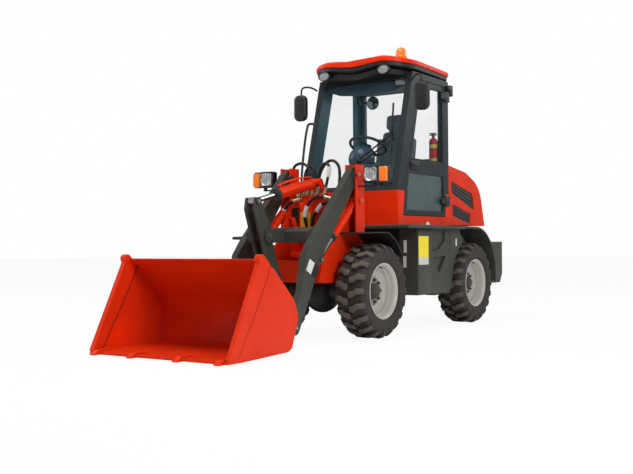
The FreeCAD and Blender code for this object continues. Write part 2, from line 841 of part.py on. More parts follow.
def front_fenders():
    top = s.tower_foot
    plate = 8
    profile = [
        (front_x + 205, top - 16),
        (front_x + 200, top),
        (front_x - 60, top),
        (front_x - 180, top - 60),
        (front_x - 300, top - 195),
        (front_x - 300 + plate, top - 195 - plate),
        (front_x - 172, top - 68),
        (front_x - 56, top - plate),
        (front_x + 192, top - plate),
    ]
    inner = s.cheek_inner_y + s.cheek_plate
    left = prism("left_front_fender", "XZ", profile, (inner, s.deck_half_width + s.fender_overhang))
    node(pair("front_fenders", left), "front_fenders")


def headlamps():
    outer = s.cheek_inner_y + s.cheek_plate * 2 + s.arm_slot
    x, low = front_x + 60, s.tower_top - s.headlamp_drop
    left = fuse(
        "left_headlamp",
        block("left_lamp_arm", (x - 20, x), (outer, outer + 150), (low - 26, low - 12)),
        block("left_lamp_post", (x - 20, x), (outer + 120, outer + 150), (low - 26, low + 3)),
        block("left_lamp_case", (x - 40, x + 45), (452, 680), (low, low + 143)),
    )
    node(pair("headlamps", left), "headlamps")


def rear_frame():
    """Rails, bulkhead, pivot fork, deck and the pin that holds the two frames together."""
    rail_in, rail_out = s.rail_y - s.rail_plate, s.rail_y
    head_x = pivot_x - 172
    tail_x = front_x - s.rear_end_x + s.counterweight_length
    low, deck = s.frame_low, s.deck_low
    fork = [
        (head_x, -200),
        (pivot_x, -s.pivot_eye_radius),
        (pivot_x, s.pivot_eye_radius),
        (head_x, 200),
    ]
    parts = [
        block("left_rail", (tail_x, head_x), (rail_in, rail_out), (low, deck)),
        block("right_rail", (tail_x, head_x), (-rail_out, -rail_in), (low, deck)),
        block("bulkhead", (head_x - 12, head_x), (-rail_out, rail_out), (low, deck)),
        block("rear_floor", (tail_x, head_x), (-rail_out, rail_out), (low, low + s.frame_plate)),
        block("tail_plate", (tail_x, tail_x + 14), (-rail_out, rail_out), (low, deck)),
    ]
    for name, low_z in (("low", s.tongue_low - s.fork_gap - s.fork_plate), ("high", s.tongue_high + s.fork_gap)):
        span = (low_z, low_z + s.fork_plate)
        parts.append(prism("fork_plate_" + name, "XY", fork, span))
        parts.append(bar("fork_eye_" + name, "z", (pivot_x, 0), span, s.pivot_eye_radius))
    pin_low = s.tongue_low - s.fork_gap - s.fork_plate - 12
    pin_high = s.tongue_high + s.fork_gap + s.fork_plate + 12
    parts.append(bar("pivot_pin", "z", (pivot_x, 0), (pin_low, pin_high), s.pivot_pin_radius))
    parts.append(bar("steering_base_pin", "z", (pivot_x - s.steering_base_back, -s.steering_y),
                     (s.tongue_high + 20, s.steering_z + 35), s.steering_pin_radius))
    node(fuse("rear_frame", *parts), "rear_frame")
    wide = s.deck_half_width
    node(block("deck_plate", (cab_rear_x - 150, cab_front_x + 20), (-wide, wide), (deck, s.deck_top)), "deck")


def rear_body():
    """The pieces that stand on the rear frame outside the cab."""
    rail_out = s.rail_y
    tail_x = front_x - s.rear_end_x
    inner_x = tail_x + s.counterweight_length
    wide, low, top = s.counterweight_half_width, s.counterweight_low, s.counterweight_top
    side = [
        (tail_x + 60, low),
        (inner_x, low),
        (inner_x, top),
        (tail_x, top),
        (tail_x, low + 95),
    ]
    tow_x = tail_x + s.tow_pin_back
    node(
        cut(
            "counterweight_cut",
            prism("counterweight_block", "XZ", side, (-wide, wide)),
            block("tow_recess", (tail_x - 1, tail_x + 95), (-75, 75), (500, 575)),
            bar("tow_bore", "z", (tow_x, 0), (s.tow_bore_low, top + 1), s.tow_bore_radius),
        ),
        "counterweight",
    )
    box_x = (front_x - 1350, front_x - 700)
    box = block("left_box", box_x, (s.side_box_inner_y, s.side_box_outer_y), (s.side_box_low, s.deck_low))
    node(pair("side_boxes", box), "side_boxes")
    radius, plate = s.fender_radius, s.fender_plate
    top_z = s.deck_top - 5
    arch = [
        (cab_rear_x - 150, top_z),
        (rear_x, top_z, radius),
        (rear_x - radius, top_z - radius),
        (rear_x - radius, axle_z),
        (rear_x - radius + plate, axle_z),
        (rear_x - radius + plate, top_z - radius, plate - radius),
        (rear_x, top_z - plate),
        (cab_rear_x - 150, top_z - plate),
    ]
    left = fuse(
        "left_rear_fender",
        prism("left_arch", "XZ", arch, (s.fender_inner_y, s.deck_half_width + s.fender_overhang)),
        block("left_arch_seat", (cab_rear_x - 340, cab_rear_x - 160), (rail_out, s.fender_inner_y + 10),
              (top_z - plate, top_z)),
    )
    node(pair("rear_fenders", left), "rear_fenders")
    engine_x = (rear_x - 255, rear_x + 225)
    engine_z = (s.frame_low + s.frame_plate + s.face_gap, s.engine_top)
    node(block("engine", engine_x, (-210, 210), engine_z), "engine_block")


def cab_side(inset, low, top):
    """The cab's side outline, moved inwards by inset."""
    front, rear = cab_front_x - inset, cab_rear_x + inset
    slope = s.windscreen_rake / (s.cab_top - s.sill_top)
    lean = (sized(top) - s.sill_top) * slope
    return [
        (front, low),
        (front + 20, s.sill_top),
        (front + 20 - lean, top),
        (rear, top),
        (rear, low),
    ]


def door_outline(gap):
    """The door's opening, made smaller all round by gap."""
    front = cab_front_x
    slope = s.windscreen_rake / (s.cab_top - s.sill_top)
    low, top = s.deck_top + 80 + gap, s.cab_top - 55 - gap
    edge = front - 117 - gap
    return [
        (edge + 32, low),
        (edge, s.sill_top + 15),
        (edge - (top - s.sill_top - 15) * slope, top),
        (cab_rear_x + 70 + gap, top),
        (cab_rear_x + 70 + gap, low),
    ]


def window_outline(low, top, gap):
    """A side window between two heights that follows the door's front edge."""
    slope = s.windscreen_rake / (s.cab_top - s.sill_top)
    edge = cab_front_x - 117 - s.door_gap - 45 - gap
    middle = sized(s.sill_top + 15)
    low, top = sized(low), sized(top)
    points = [(edge - (low - middle) * slope, low)] if low.number > middle.number else [(edge + 20, low), (edge, middle)]
    points += [
        (edge - (top - middle) * slope, top) if top.number > middle.number else (edge, top),
        (cab_rear_x + 70 + s.door_gap + 45 + gap, top),
        (cab_rear_x + 70 + s.door_gap + 45 + gap, low),
    ]
    return points


def cab_hinges(wide):
    """The lugs and pins on the cab that the door and the hood hang on."""
    parts = []
    for name, z in hinge_heights.items():
        parts.append(bar("door_pin_" + name, "z", door_hinge, (z - 46, z + 46), s.door_pin_radius))
        for end, span in (("under", (z - 46, z - 32)), ("over", (z + 32, z + 46))):
            parts.append(block(f"door_lug_{name}_{end}", (door_hinge[0] - 60, door_hinge[0] - 12),
                               (wide - 5, door_hinge[1] + 9), span))
            parts.append(block(f"door_lug_tip_{name}_{end}", (door_hinge[0] - 20, door_hinge[0] + 9),
                               (wide + 6, door_hinge[1] + 9), span))
    x, z = hood_hinge
    for side in (-1, 1):
        middle = 300 * side
        parts.append(bar(f"hood_pin_{side + 1}", "y", hood_hinge, (middle - 50, middle + 50), s.hinge_pin_radius))
        for end in (-1, 1):
            edge = middle + 43 * end
            parts.append(block(f"hood_lug_{side + 1}_{end + 1}", (x - 8, cab_rear_x + 5), (edge - 7, edge + 7),
                               (z - 5, z + 8)))
    return parts


def cab():
    wide, wall = s.cab_half_width, s.cab_wall
    shell = prism("cab_solid", "XZ", cab_side(0, s.deck_top, s.cab_top), (-wide, wide))
    room = prism("cab_room", "XZ", cab_side(wall, s.deck_top + 20, s.cab_top + 50), (wall - wide, wide - wall))
    front_low, front_top = s.sill_top + 40, s.cab_top - 60
    rear_low = s.hood_top + 60
    side_low, side_top = s.sill_top + 60, s.cab_top - 60
    window = window_outline(side_low, side_top, 0)
    openings = [
        room,
        block("windscreen_opening", (cab_front_x - 420, cab_front_x + 60), (60 - wide, wide - 60), (front_low, front_top)),
        block("rear_opening", (cab_rear_x - 10, cab_rear_x + wall + 10), (90 - wide, wide - 90), (rear_low, front_top)),
        prism("door_opening", "XZ", door_outline(0), (wide - wall - 5, wide + 5)),
        prism("right_opening", "XZ", window, (-wide - 5, wall + 5 - wide)),
    ]
    solid = fuse("cab_with_hinges", cut("cab_hollow", shell, *openings), *cab_hinges(wide))
    node(solid, "cab_shell")
    slope = s.windscreen_rake / (s.cab_top - s.sill_top)
    set_in = 15
    low_x = cab_front_x + 20 - (front_low - s.sill_top) * slope - set_in
    top_x = cab_front_x + 20 - (front_top - s.sill_top) * slope - set_in
    pane = [(low_x, front_low), (top_x, front_top), (top_x - s.glass, front_top), (low_x - s.glass, front_low)]
    node(prism("windscreen_pane", "XZ", pane, (60 - wide, wide - 60)), "windscreen")
    side_pane = prism("right_pane", "XZ", window, (set_in - wide, set_in + s.glass - wide))
    rear_pane = block("rear_pane", (cab_rear_x + set_in, cab_rear_x + set_in + s.glass), (90 - wide, wide - 90), (rear_low, front_top))
    node(group("cab_windows", side_pane, rear_pane), "cab_windows")
    nose_x = front_x - 480
    rim = s.roof_half_width
    plan = [
        (nose_x, -370),
        (nose_x, 370),
        (nose_x - 150, rim),
        (cab_rear_x - 25, rim),
        (cab_rear_x - 25, -rim),
        (nose_x - 150, -rim),
    ]
    inner_plan = [
        (nose_x - 110, -300),
        (nose_x - 110, 300),
        (nose_x - 240, rim - 90),
        (cab_rear_x + 90, rim - 90),
        (cab_rear_x + 90, 90 - rim),
        (nose_x - 240, 90 - rim),
    ]
    lip_x = nose_x - 70
    node(
        fuse(
            "roof",
            prism("roof_shell", "XY", plan, (s.cab_top + 50, s.roof_top - 18)),
            prism("roof_crown", "XY", inner_plan, (s.roof_top - 18, s.roof_top)),
            block("roof_liner", (cab_rear_x - 15, lip_x), (15 - rim, rim - 15), (s.cab_top, s.cab_top + 50)),
            block("roof_lip", (lip_x - 110, lip_x), (-400, 400), (s.cab_top - 45, s.cab_top)),
        ),
        "cab_roof",
    )
    lamp = bar("left_work_lamp", "x", (309, s.cab_top + 3), (lip_x, lip_x + 55), 44)
    node(pair("work_lamps", lamp), "work_lamps")
    beacon_x, beacon_y = front_x - 850, 300
    node(
        fuse(
            "beacon_solid",
            bar("beacon_base", "z", (beacon_x, beacon_y), (s.roof_top, s.roof_top + 45), 62),
            bar("beacon_dome", "z", (beacon_x, beacon_y), (s.roof_top + 45, s.roof_top + 150), 50),
        ),
        "beacon",
    )


def door():
    wide, thick = s.cab_half_width, s.door_thickness
    leaf = prism("door_leaf", "XZ", door_outline(s.door_gap), (wide - thick, wide))
    upper = window_outline(s.sill_top + 290, s.cab_top - 110, 0)
    lower = window_outline(s.deck_top + 130, s.sill_top + 160, 0)
    through = (wide - thick - 5, wide + 5)
    knuckles, bores = [], []
    for name, z in hinge_heights.items():
        knuckles.append(bar("door_knuckle_" + name, "z", door_hinge, (z - 30, z + 30), s.door_hinge_radius))
        knuckles.append(block("door_strap_" + name, (door_hinge[0], door_hinge[0] + 110),
                              (wide - 5, door_hinge[1] + 8), (z - 28, z + 28)))
        bores.append(bar("door_bore_" + name, "z", door_hinge, (z - 31, z + 31),
                         s.door_pin_radius + s.running_gap))
    solid = fuse("door_solid", leaf, *knuckles)
    holes = [
        prism("door_upper_hole", "XZ", upper, through),
        prism("door_lower_hole", "XZ", lower, through),
    ]
    node(cut("door", solid, *holes, *bores), "door")
    pane = (wide - thick / 2 - s.glass / 2, wide - thick / 2 + s.glass / 2)
    node(group("door_glass", prism("door_upper_pane", "XZ", upper, pane), prism("door_lower_pane", "XZ", lower, pane)), "door_glass")


def hood():
    """The engine cover: rounded tail, open below and towards the cab."""
    wide, wall = s.hood_half_width, s.hood_wall
    front = cab_rear_x - s.hood_gap
    low = s.deck_top + s.hood_gap

    def side(inset):
        top = s.hood_top - inset
        return [
            (front + (1 if inset else 0), low - (1 if inset else 0)),
            (front + (1 if inset else 0), top),
            (rear_x - 40, top - 50),
            (rear_x - 230, top - 120, 320),
            (rear_x - 410 + inset, top - 300),
            (rear_x - 490 + inset, low - (1 if inset else 0)),
        ]

    shell = cut(
        "hood_shell",
        prism("hood_solid", "XZ", side(0), (-wide, wide)),
        prism("hood_room", "XZ", side(wall), (wall - wide, wide - wall)),
    )
    knuckle = bar("hood_knuckle", "y", hood_hinge, (-330, -270), s.hinge_radius)
    other = mirrored("hood_knuckle_left", knuckle)
    bore = bar("hood_bore", "y", hood_hinge, (-400, 400), s.hinge_pin_radius + s.running_gap)
    node(cut("hood", fuse("hood_solid_hinged", shell, knuckle, other), bore), "hood")


def cab_inside():
    """Seat, console, steering wheel and extinguisher."""
    floor = cab_floor
    seat_x = front_x - 1050
    cushion_low, cushion_top = floor + 320, floor + 430
    node(block("seat_stand", (seat_x - 180, seat_x + 170), (-180, 180), (floor, cushion_low)), "seat_base")
    cushion = block("seat_cushion", (seat_x - 170, seat_x + 270), (-230, 230),
                    (cushion_low + s.face_gap, cushion_top))
    back = [
        (seat_x - 190, cushion_top + s.face_gap),
        (seat_x - 70, cushion_top + s.face_gap),
        (seat_x - 180, floor + 1090),
        (seat_x - 290, floor + 1090),
    ]
    node(group("seat_cushions", cushion, prism("seat_back", "XZ", back, (-220, 220))), "seat_cushions")
    hub = (front_x - s.column_back, s.steering_hub_z)

    def lean(obj):
        """Stands a piece made along +Z on the hub, leaning back with the column."""
        obj.Placement.Rotation = FreeCAD.Rotation(V(0, -1, 0), 1)
        obj.setExpression(".Placement.Rotation.Angle", "Sizes.column_lean * 1 deg")
        place(obj, hub[0], 0, hub[1])
        return obj

    box = block("dash_box", (hub[0] + 10, hub[0] + 230), (-160, 160), (floor, hub[1] - 110))
    column = lean(fuse(
        "column",
        bar("column_tube", "z", (0, 0), (-220, -s.hub_depth - s.face_gap), 34),
        bar("column_cover", "z", (0, 0), (-200, -s.hub_depth - 20), 46),
    ))
    node(fuse("dash", box, column), "dash_console")
    ring = doc.addObject("Part::Torus", "wheel_ring")
    bind(ring, Radius1=s.wheel_ring_radius, Radius2=s.wheel_ring_thickness)
    solid = fuse(
        "steering_wheel_solid",
        ring,
        bar("wheel_hub", "z", (0, 0), (-s.hub_depth, 4), 34),
        block("wheel_spokes", (-s.wheel_ring_radius, s.wheel_ring_radius), (-12, 12), (-7, 4)),
        bar("wheel_knob_stem", "z", (0, s.wheel_ring_radius), (0, 34), 6),
        bar("wheel_knob", "z", (0, s.wheel_ring_radius), (30, 64), 19),
    )
    node(lean(solid), "steering_wheel")
    bottle_y = s.cab_half_width - 120
    bottle = fuse(
        "bottle",
        bar("bottle_body", "z", (cab_rear_x + 110, bottle_y), (floor + 560, floor + 860), 55),
        block("bottle_bracket", (cab_rear_x + s.cab_wall, cab_rear_x + 80), (bottle_y - 25, bottle_y + 25),
              (floor + 600, floor + 800)),
    )
    node(bottle, "extinguisher")


def cab_outside():
    """Mirrors, grab rail and rear lamps."""
    wide = s.cab_half_width
    x, z = front_x - 607, 2044
    left = fuse(
        "left_mirror",
        block("left_mirror_case", (x - 30, x + 30), (563, 709), (z - 125, z + 125)),
        bar("left_mirror_arm", "z", (x, 600), (z + 100, z + 190), 10),
        bar("left_mirror_stay", "y", (x, z + 190), (wide + 12, 600), 9),
        bar("left_mirror_run", "x", (wide + 12, z + 190), (x - 140, x), 8),
        block("left_mirror_foot", (x - 150, x - 110), (wide, wide + 20), (z + 170, z + 210)),
    )
    node(pair("mirrors", left), "mirrors")
    rail_x = front_x - 460
    rail = fuse(
        "grab_rail_solid",
        bar("grab_rail_post", "z", (rail_x, -wide - 60), (1090, 1900), 11),
        bar("grab_rail_low", "y", (rail_x, 1110), (-wide - 60, -wide), 11),
        bar("grab_rail_high", "y", (rail_x - 190, 1880), (-wide - 60, -wide), 11),
        bar("grab_rail_top", "x", (-wide - 60, 1880), (rail_x - 190, rail_x), 11),
    )
    node(rail, "grab_rail")
    tail_x = front_x - s.rear_end_x
    lamp = block("left_rear_lamp", (tail_x - 22, tail_x), (330, 450), (660, 740))
    node(pair("rear_lamps", lamp), "rear_lamps")


for end, x in (("front", front_x), ("rear", rear_x)):
    for side_name, side in (("left", 1), ("right", -1)):
        wheel(f"{end}_{side_name}", x, side)
    axle(f"{end}_axle", x)
front_frame()
boom()
rocker()
tilt_link()
lift_cylinders()
tilt_cylinder()
steering_cylinder()
bucket()
front_fenders()
headlamps()
rear_frame()
rear_body()
cab()
door()
hood()
cab_inside()
cab_outside()

doc.recompute()
for obj in doc.Objects:
    if "Invalid" in obj.State or "Error" in obj.State:
        raise RuntimeError(f"{obj.Name} failed: {obj.State} {obj.getStatusString()}")
for name, obj in nodes.items():
    if obj.Label != name:
        raise RuntimeError(f"{name} is labelled {obj.Label}")
    if obj.Shape.isNull() or not obj.Shape.isValid() or not obj.Shape.Solids:
        raise RuntimeError(f"{name} has no valid solid")

os.makedirs("parts", exist_ok=True)
for name, obj in nodes.items():
    obj.Shape.exportStep(f"parts/{name}.step")
print(len(nodes), "sub-parts written")
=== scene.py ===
"""Dresses a packed wheel loader with its finishes and fine pieces, and sets it in a pale studio.

Lengths are metres. +X points forward, +Y to the machine's left and +Z up.
"""

import json
import math

import bmesh
import bpy
from mathutils import Matrix, Vector


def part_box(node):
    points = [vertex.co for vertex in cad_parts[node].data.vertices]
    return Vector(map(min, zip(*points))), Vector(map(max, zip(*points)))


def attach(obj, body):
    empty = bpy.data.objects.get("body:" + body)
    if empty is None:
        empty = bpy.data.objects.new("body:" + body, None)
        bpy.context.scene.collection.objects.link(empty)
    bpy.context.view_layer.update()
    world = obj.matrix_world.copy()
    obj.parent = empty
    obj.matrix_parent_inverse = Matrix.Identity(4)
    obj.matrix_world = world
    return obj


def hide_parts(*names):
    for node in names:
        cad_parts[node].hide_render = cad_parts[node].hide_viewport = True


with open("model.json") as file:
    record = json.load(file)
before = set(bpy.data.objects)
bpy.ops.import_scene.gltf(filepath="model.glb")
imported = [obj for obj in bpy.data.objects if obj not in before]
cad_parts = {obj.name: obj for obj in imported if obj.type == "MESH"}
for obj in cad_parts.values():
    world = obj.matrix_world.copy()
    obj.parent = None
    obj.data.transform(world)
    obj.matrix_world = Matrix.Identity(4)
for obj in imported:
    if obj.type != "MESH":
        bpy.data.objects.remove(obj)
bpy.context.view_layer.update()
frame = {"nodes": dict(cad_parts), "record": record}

bl_info = {
    "name": "Wheel Loader Dresser",
    "version": (1, 0, 0),
    "blender": (4, 5, 0),
    "location": "View3D > Sidebar > Loader",
    "description": "Finishes and fine pieces for a compact wheel loader",
    "category": "Object",
}

UP = Vector((0, 0, 1))
AHEAD = (1, 0, 0)
ACROSS = (0, 1, 0)
SIDES = (1, -1)

# Places that several pieces share. A pin's place is its X and its Z.
AXLE_HEIGHT = 0.386
REAR_AXLE = Vector((-1.490, 0, AXLE_HEIGHT))
BOOM_PIN = (0.385, 1.340)
LIFT_BASE, LIFT_HEAD = (0.335, 1.130), (0.890, 0.650)
TILT_BASE, TILT_HEAD = (0.414, 1.288), (1.285, 1.100)
ROCKER_PIN = (1.170, 0.829)
LINK_PIN = (0.965, 0.346)
HITCH_PIN = (1.245, 0.150)
LIFT_BARREL_Y = 0.328
ARM_FACE_Y = 0.357
CAB_FACE_Y = 0.490
FRAME_FACE_X = 0.402
CAB_SILL_Z = 1.232


# ---------------------------------------------------------------- settings

def linear(colour):
    """An sRGB hex colour as the linear one that a socket takes; a linear one stays as it is."""
    if not isinstance(colour, str):
        return list(colour)
    channels = [int(colour[i:i + 2], 16) / 255 for i in (0, 2, 4)]
    return [c / 12.92 if c <= 0.04045 else ((c + 0.055) / 1.055) ** 2.4 for c in channels] + [1.0]


def colour_setting(name, description, code):
    return bpy.props.FloatVectorProperty(name=name, description=description, default=linear(code),
                                         size=4, min=0.0, max=1.0, subtype="COLOR")


def length_setting(name, description, value):
    return bpy.props.FloatProperty(name=name, description=description, default=value, min=0.0,
                                   subtype="DISTANCE", unit="LENGTH")


class LoaderColours(bpy.types.PropertyGroup):
    """The colours of the loader."""
    enamel: colour_setting("Enamel", "Main sprayed colour", "D82C06")
    chassis: colour_setting("Chassis", "Colour of the boom and the rear frame", "393C36")
    cab_frame: colour_setting("Cab frame", "Colour of the cab's posts", "262C2E")
    trim: colour_setting("Trim", "Colour of moulded black plastic", "131415")
    rims: colour_setting("Rims", "Colour of the wheel rims", "B6B5AE")
    rubber: colour_setting("Rubber", "Colour of the tyre walls", "221B18")
    tread_dust: colour_setting("Tread dust", "Dusty colour of the tread bars", "6B6252")
    glass: colour_setting("Glass", "Tint of the cab's glass", "3E6A74")
    amber: colour_setting("Amber", "Colour of the beacon and the turn lamps", "F07A10")
    seat: colour_setting("Seat", "Colour of the seat's vinyl", "39474C")


class LoaderSizes(bpy.types.PropertyGroup):
    """The sizes of the loader's fine pieces."""
    edge_rounding: length_setting("Edge rounding", "Radius of the edges of folded plate", 0.004)
    lug_width: length_setting("Tread bar width", "Width of one tread bar along the tread", 0.058)
    hose_thickness: length_setting("Hose thickness", "Outside diameter of the hoses", 0.025)
    nut_circle: length_setting("Wheel nut circle", "Radius of the ring of wheel nuts", 0.088)
    rim_drop: length_setting("Rim dish", "Depth of the wheel disc inside the rim's edge", 0.108)


# ---------------------------------------------------------------- finishes

def add(tree, kind, inputs=None, **settings):
    """Adds a node with its settings; an input takes a value or another node's output."""
    made = tree.nodes.new(kind)
    for name, value in settings.items():
        setattr(made, name, value)
    for name, value in (inputs or {}).items():
        if isinstance(value, bpy.types.NodeSocket):
            tree.links.new(value, made.inputs[name])
        else:
            made.inputs[name].default_value = value
    return made


FINISHES = {}


def finish(name, build):
    """Makes a material; build fills in the surface from its tree and shader."""
    material = bpy.data.materials.new(name)
    material.use_nodes = True
    tree = material.node_tree
    tree.nodes.clear()
    shader = add(tree, "ShaderNodeBsdfPrincipled")
    add(tree, "ShaderNodeOutputMaterial", {"Surface": shader.outputs["BSDF"]})
    build(tree, shader)
    FINISHES[name] = material


def spots(tree, millimetres, detail=3.0, roughness=0.55):
    """Noise whose blotches are about that many millimetres across."""
    where = add(tree, "ShaderNodeTexCoord")
    return add(tree, "ShaderNodeTexNoise", {
        "Vector": where.outputs["Object"], "Scale": 1000.0 / millimetres,
        "Detail": detail, "Roughness": roughness})


def ramp(tree, source, stops):
    """Colours that follow a value from 0 to 1, as pairs of place and colour."""
    made = add(tree, "ShaderNodeValToRGB", {"Fac": source})
    elements = made.color_ramp.elements
    while len(elements) < len(stops):
        elements.new(0.5)
    for element, (place, colour) in zip(elements, stops):
        element.position, element.color = place, colour
    return made


def grey(value):
    return (value, value, value, 1.0)


def shade(colour, factor):
    """A colour made darker or lighter."""
    return [min(1.0, c * factor) for c in colour[:3]] + [1.0]


def painted(code, dust, gloss, lift=0.05, coat=0.35):
    """Sprayed enamel: colour drifts a little, dust dulls it low down, worn edges show lighter."""
    def build(tree, shader):
        base, dusty = linear(code), linear(dust)
        # The drift of the sprayed film is a hand's width, and a dust patch a few fingers.
        drift = spots(tree, 260, 4.0)
        tone = ramp(tree, drift.outputs["Fac"],
                    [(0.32, shade(base, 0.90)), (0.68, shade(base, 1.07))])
        where = add(tree, "ShaderNodeTexCoord")
        height = add(tree, "ShaderNodeSeparateXYZ", {"Vector": where.outputs["Object"]})
        low = add(tree, "ShaderNodeMapRange", {
            "Value": height.outputs["Z"], "From Min": 0.15, "From Max": 1.1, "To Min": 0.34,
            "To Max": 0.02})
        patch = spots(tree, 42, 6.0, 0.7)
        film = add(tree, "ShaderNodeMath", {0: low.outputs["Result"], 1: patch.outputs["Fac"]},
                   operation="MULTIPLY")
        dusted = add(tree, "ShaderNodeMix", {"Factor": film.outputs[0], "A": tone.outputs["Color"],
                                             "B": dusty}, data_type="RGBA")
        edge = add(tree, "ShaderNodeNewGeometry")
        rub = ramp(tree, edge.outputs["Pointiness"], [(0.52, grey(0)), (0.62, grey(1))])
        chips = add(tree, "ShaderNodeMath", {0: rub.outputs["Color"], 1: patch.outputs["Fac"]},
                    operation="MULTIPLY")
        worn = add(tree, "ShaderNodeMix", {
            "Factor": chips.outputs[0], "A": dusted.outputs["Result"], "B": shade(base, 1.5)},
                   data_type="RGBA")
        tree.links.new(worn.outputs["Result"], shader.inputs["Base Color"])
        rough = add(tree, "ShaderNodeMapRange", {
            "Value": patch.outputs["Fac"], "To Min": gloss - 0.07, "To Max": gloss + 0.12})
        tree.links.new(rough.outputs["Result"], shader.inputs["Roughness"])
        # Orange peel is 1.6 mm across, and is drawn at three times that so that it shows.
        peel = spots(tree, 1.6 * 3, 2.0)
        bump = add(tree, "ShaderNodeBump", {"Height": peel.outputs["Fac"], "Strength": lift,
                                            "Distance": 0.0006})
        tree.links.new(bump.outputs["Normal"], shader.inputs["Normal"])
        shader.inputs["Coat Weight"].default_value = coat
        shader.inputs["Coat Roughness"].default_value = 0.18
        shader.inputs["Specular IOR Level"].default_value = 0.12
    return build


def moulded(code, gloss, grain_mm=3.0, lift=0.25):
    """Injection moulded plastic with a fine leather grain, a little greyer where dust lies."""
    def build(tree, shader):
        base = linear(code)
        wide = spots(tree, 90, 4.0)
        tone = ramp(tree, wide.outputs["Fac"], [(0.3, shade(base, 0.85)), (0.7, shade(base, 1.35))])
        tree.links.new(tone.outputs["Color"], shader.inputs["Base Color"])
        # The real grain is about 1 mm, and is drawn a few times coarser so that it shows.
        grain = spots(tree, grain_mm, 3.0)
        rough = add(tree, "ShaderNodeMapRange", {
            "Value": grain.outputs["Fac"], "To Min": gloss - 0.06, "To Max": gloss + 0.1})
        tree.links.new(rough.outputs["Result"], shader.inputs["Roughness"])
        bump = add(tree, "ShaderNodeBump", {"Height": grain.outputs["Fac"], "Strength": lift,
                                            "Distance": 0.0005})
        tree.links.new(bump.outputs["Normal"], shader.inputs["Normal"])
        shader.inputs["IOR"].default_value = 1.46
    return build


def tyre_wall(code, dust):
    """Moulded tyre rubber: dull and brownish, with dust caught in soft patches."""
    def build(tree, shader):
        base, dusty = linear(code), linear(dust)
        patch = spots(tree, 60, 6.0, 0.65)
        film = ramp(tree, patch.outputs["Fac"], [(0.42, grey(0.0)), (0.78, grey(0.42))])
        tone = add(tree, "ShaderNodeMix", {"Factor": film.outputs["Color"], "A": base, "B": dusty},
                   data_type="RGBA")
        tree.links.new(tone.outputs["Result"], shader.inputs["Base Color"])
        # The mould's texture is about 1 mm, and is drawn at 5 mm so that it shows.
        fine = spots(tree, 5, 4.0)
        bump = add(tree, "ShaderNodeBump", {"Height": fine.outputs["Fac"], "Strength": 0.35,
                                            "Distance": 0.0008})
        tree.links.new(bump.outputs["Normal"], shader.inputs["Normal"])
        shader.inputs["Roughness"].default_value = 0.72
        shader.inputs["IOR"].default_value = 1.52
    return build


def machined(code, gloss, stretch=(1, 1, 1), lift=0.12):
    """Turned, ground or plated metal: fine lines along one way over a bright metal."""
    def build(tree, shader):
        base = linear(code)
        # The tool's lines are under 1 mm apart, and are drawn about 11 mm apart so that they show.
        lines_per_metre = 90.0
        where = add(tree, "ShaderNodeTexCoord")
        turn = add(tree, "ShaderNodeMapping", {"Vector": where.outputs["Object"], "Scale": stretch})
        lines = add(tree, "ShaderNodeTexNoise", {"Vector": turn.outputs["Vector"],
                                                 "Scale": lines_per_metre, "Detail": 4.0})
        tone = ramp(tree, lines.outputs["Fac"], [(0.3, shade(base, 0.8)), (0.7, shade(base, 1.1))])
        tree.links.new(tone.outputs["Color"], shader.inputs["Base Color"])
        rough = add(tree, "ShaderNodeMapRange", {
            "Value": lines.outputs["Fac"], "To Min": gloss, "To Max": gloss + 0.12})
        tree.links.new(rough.outputs["Result"], shader.inputs["Roughness"])
        bump = add(tree, "ShaderNodeBump", {"Height": lines.outputs["Fac"], "Strength": lift,
                                            "Distance": 0.0003})
        tree.links.new(bump.outputs["Normal"], shader.inputs["Normal"])
        shader.inputs["Metallic"].default_value = 1.0
    return build


def tinted_glass(code, clear, gloss=0.02):
    """Toughened tinted glass: mostly clear, with a faint smear of dust and a hard shine."""
    def build(tree, shader):
        base = linear(code)
        smear = spots(tree, 180, 5.0, 0.6)
        tone = ramp(tree, smear.outputs["Fac"], [(0.3, shade(base, 0.9)), (0.75, shade(base, 1.1))])
        tree.links.new(tone.outputs["Color"], shader.inputs["Base Color"])
        film = add(tree, "ShaderNodeMapRange", {
            "Value": smear.outputs["Fac"], "To Min": clear * 0.7, "To Max": clear * 1.4})
        tree.links.new(film.outputs["Result"], shader.inputs["Alpha"])
        shader.inputs["Roughness"].default_value = gloss
        shader.inputs["IOR"].default_value = 1.52
    return build


def lens(code, ribs_mm, clear=0.0, glow=0.0):
    """Moulded clear or coloured lens with pressed ribs that break up the light; glow is a painted glow.
    """
    def build(tree, shader):
        base = linear(code)
        where = add(tree, "ShaderNodeTexCoord")
        # A wave repeats every 314 mm at scale 1. Ribs are drawn twice as coarse so that they show.
        coarser = 1.98
        ribs = add(tree, "ShaderNodeTexWave", {"Vector": where.outputs["Object"],
                                               "Scale": 314.16 / (ribs_mm * coarser),
                                               "Distortion": 0.4}, bands_direction="Y")
        tone = ramp(tree, ribs.outputs["Fac"], [(0.1, shade(base, 0.72)), (0.9, shade(base, 1.12))])
        tree.links.new(tone.outputs["Color"], shader.inputs["Base Color"])
        bump = add(tree, "ShaderNodeBump", {"Height": ribs.outputs["Fac"], "Strength": 0.5,
                                            "Distance": 0.002})
        tree.links.new(bump.outputs["Normal"], shader.inputs["Normal"])
        shader.inputs["Roughness"].default_value = 0.08
        shader.inputs["Coat Weight"].default_value = 0.8
        shader.inputs["IOR"].default_value = 1.49
        if clear:
            shader.inputs["Alpha"].default_value = 1 - clear
        # A painted glow: the lens gives off a little light of its own.
        if glow:
            shader.inputs["Emission Color"].default_value = base
            shader.inputs["Emission Strength"].default_value = glow
    return build


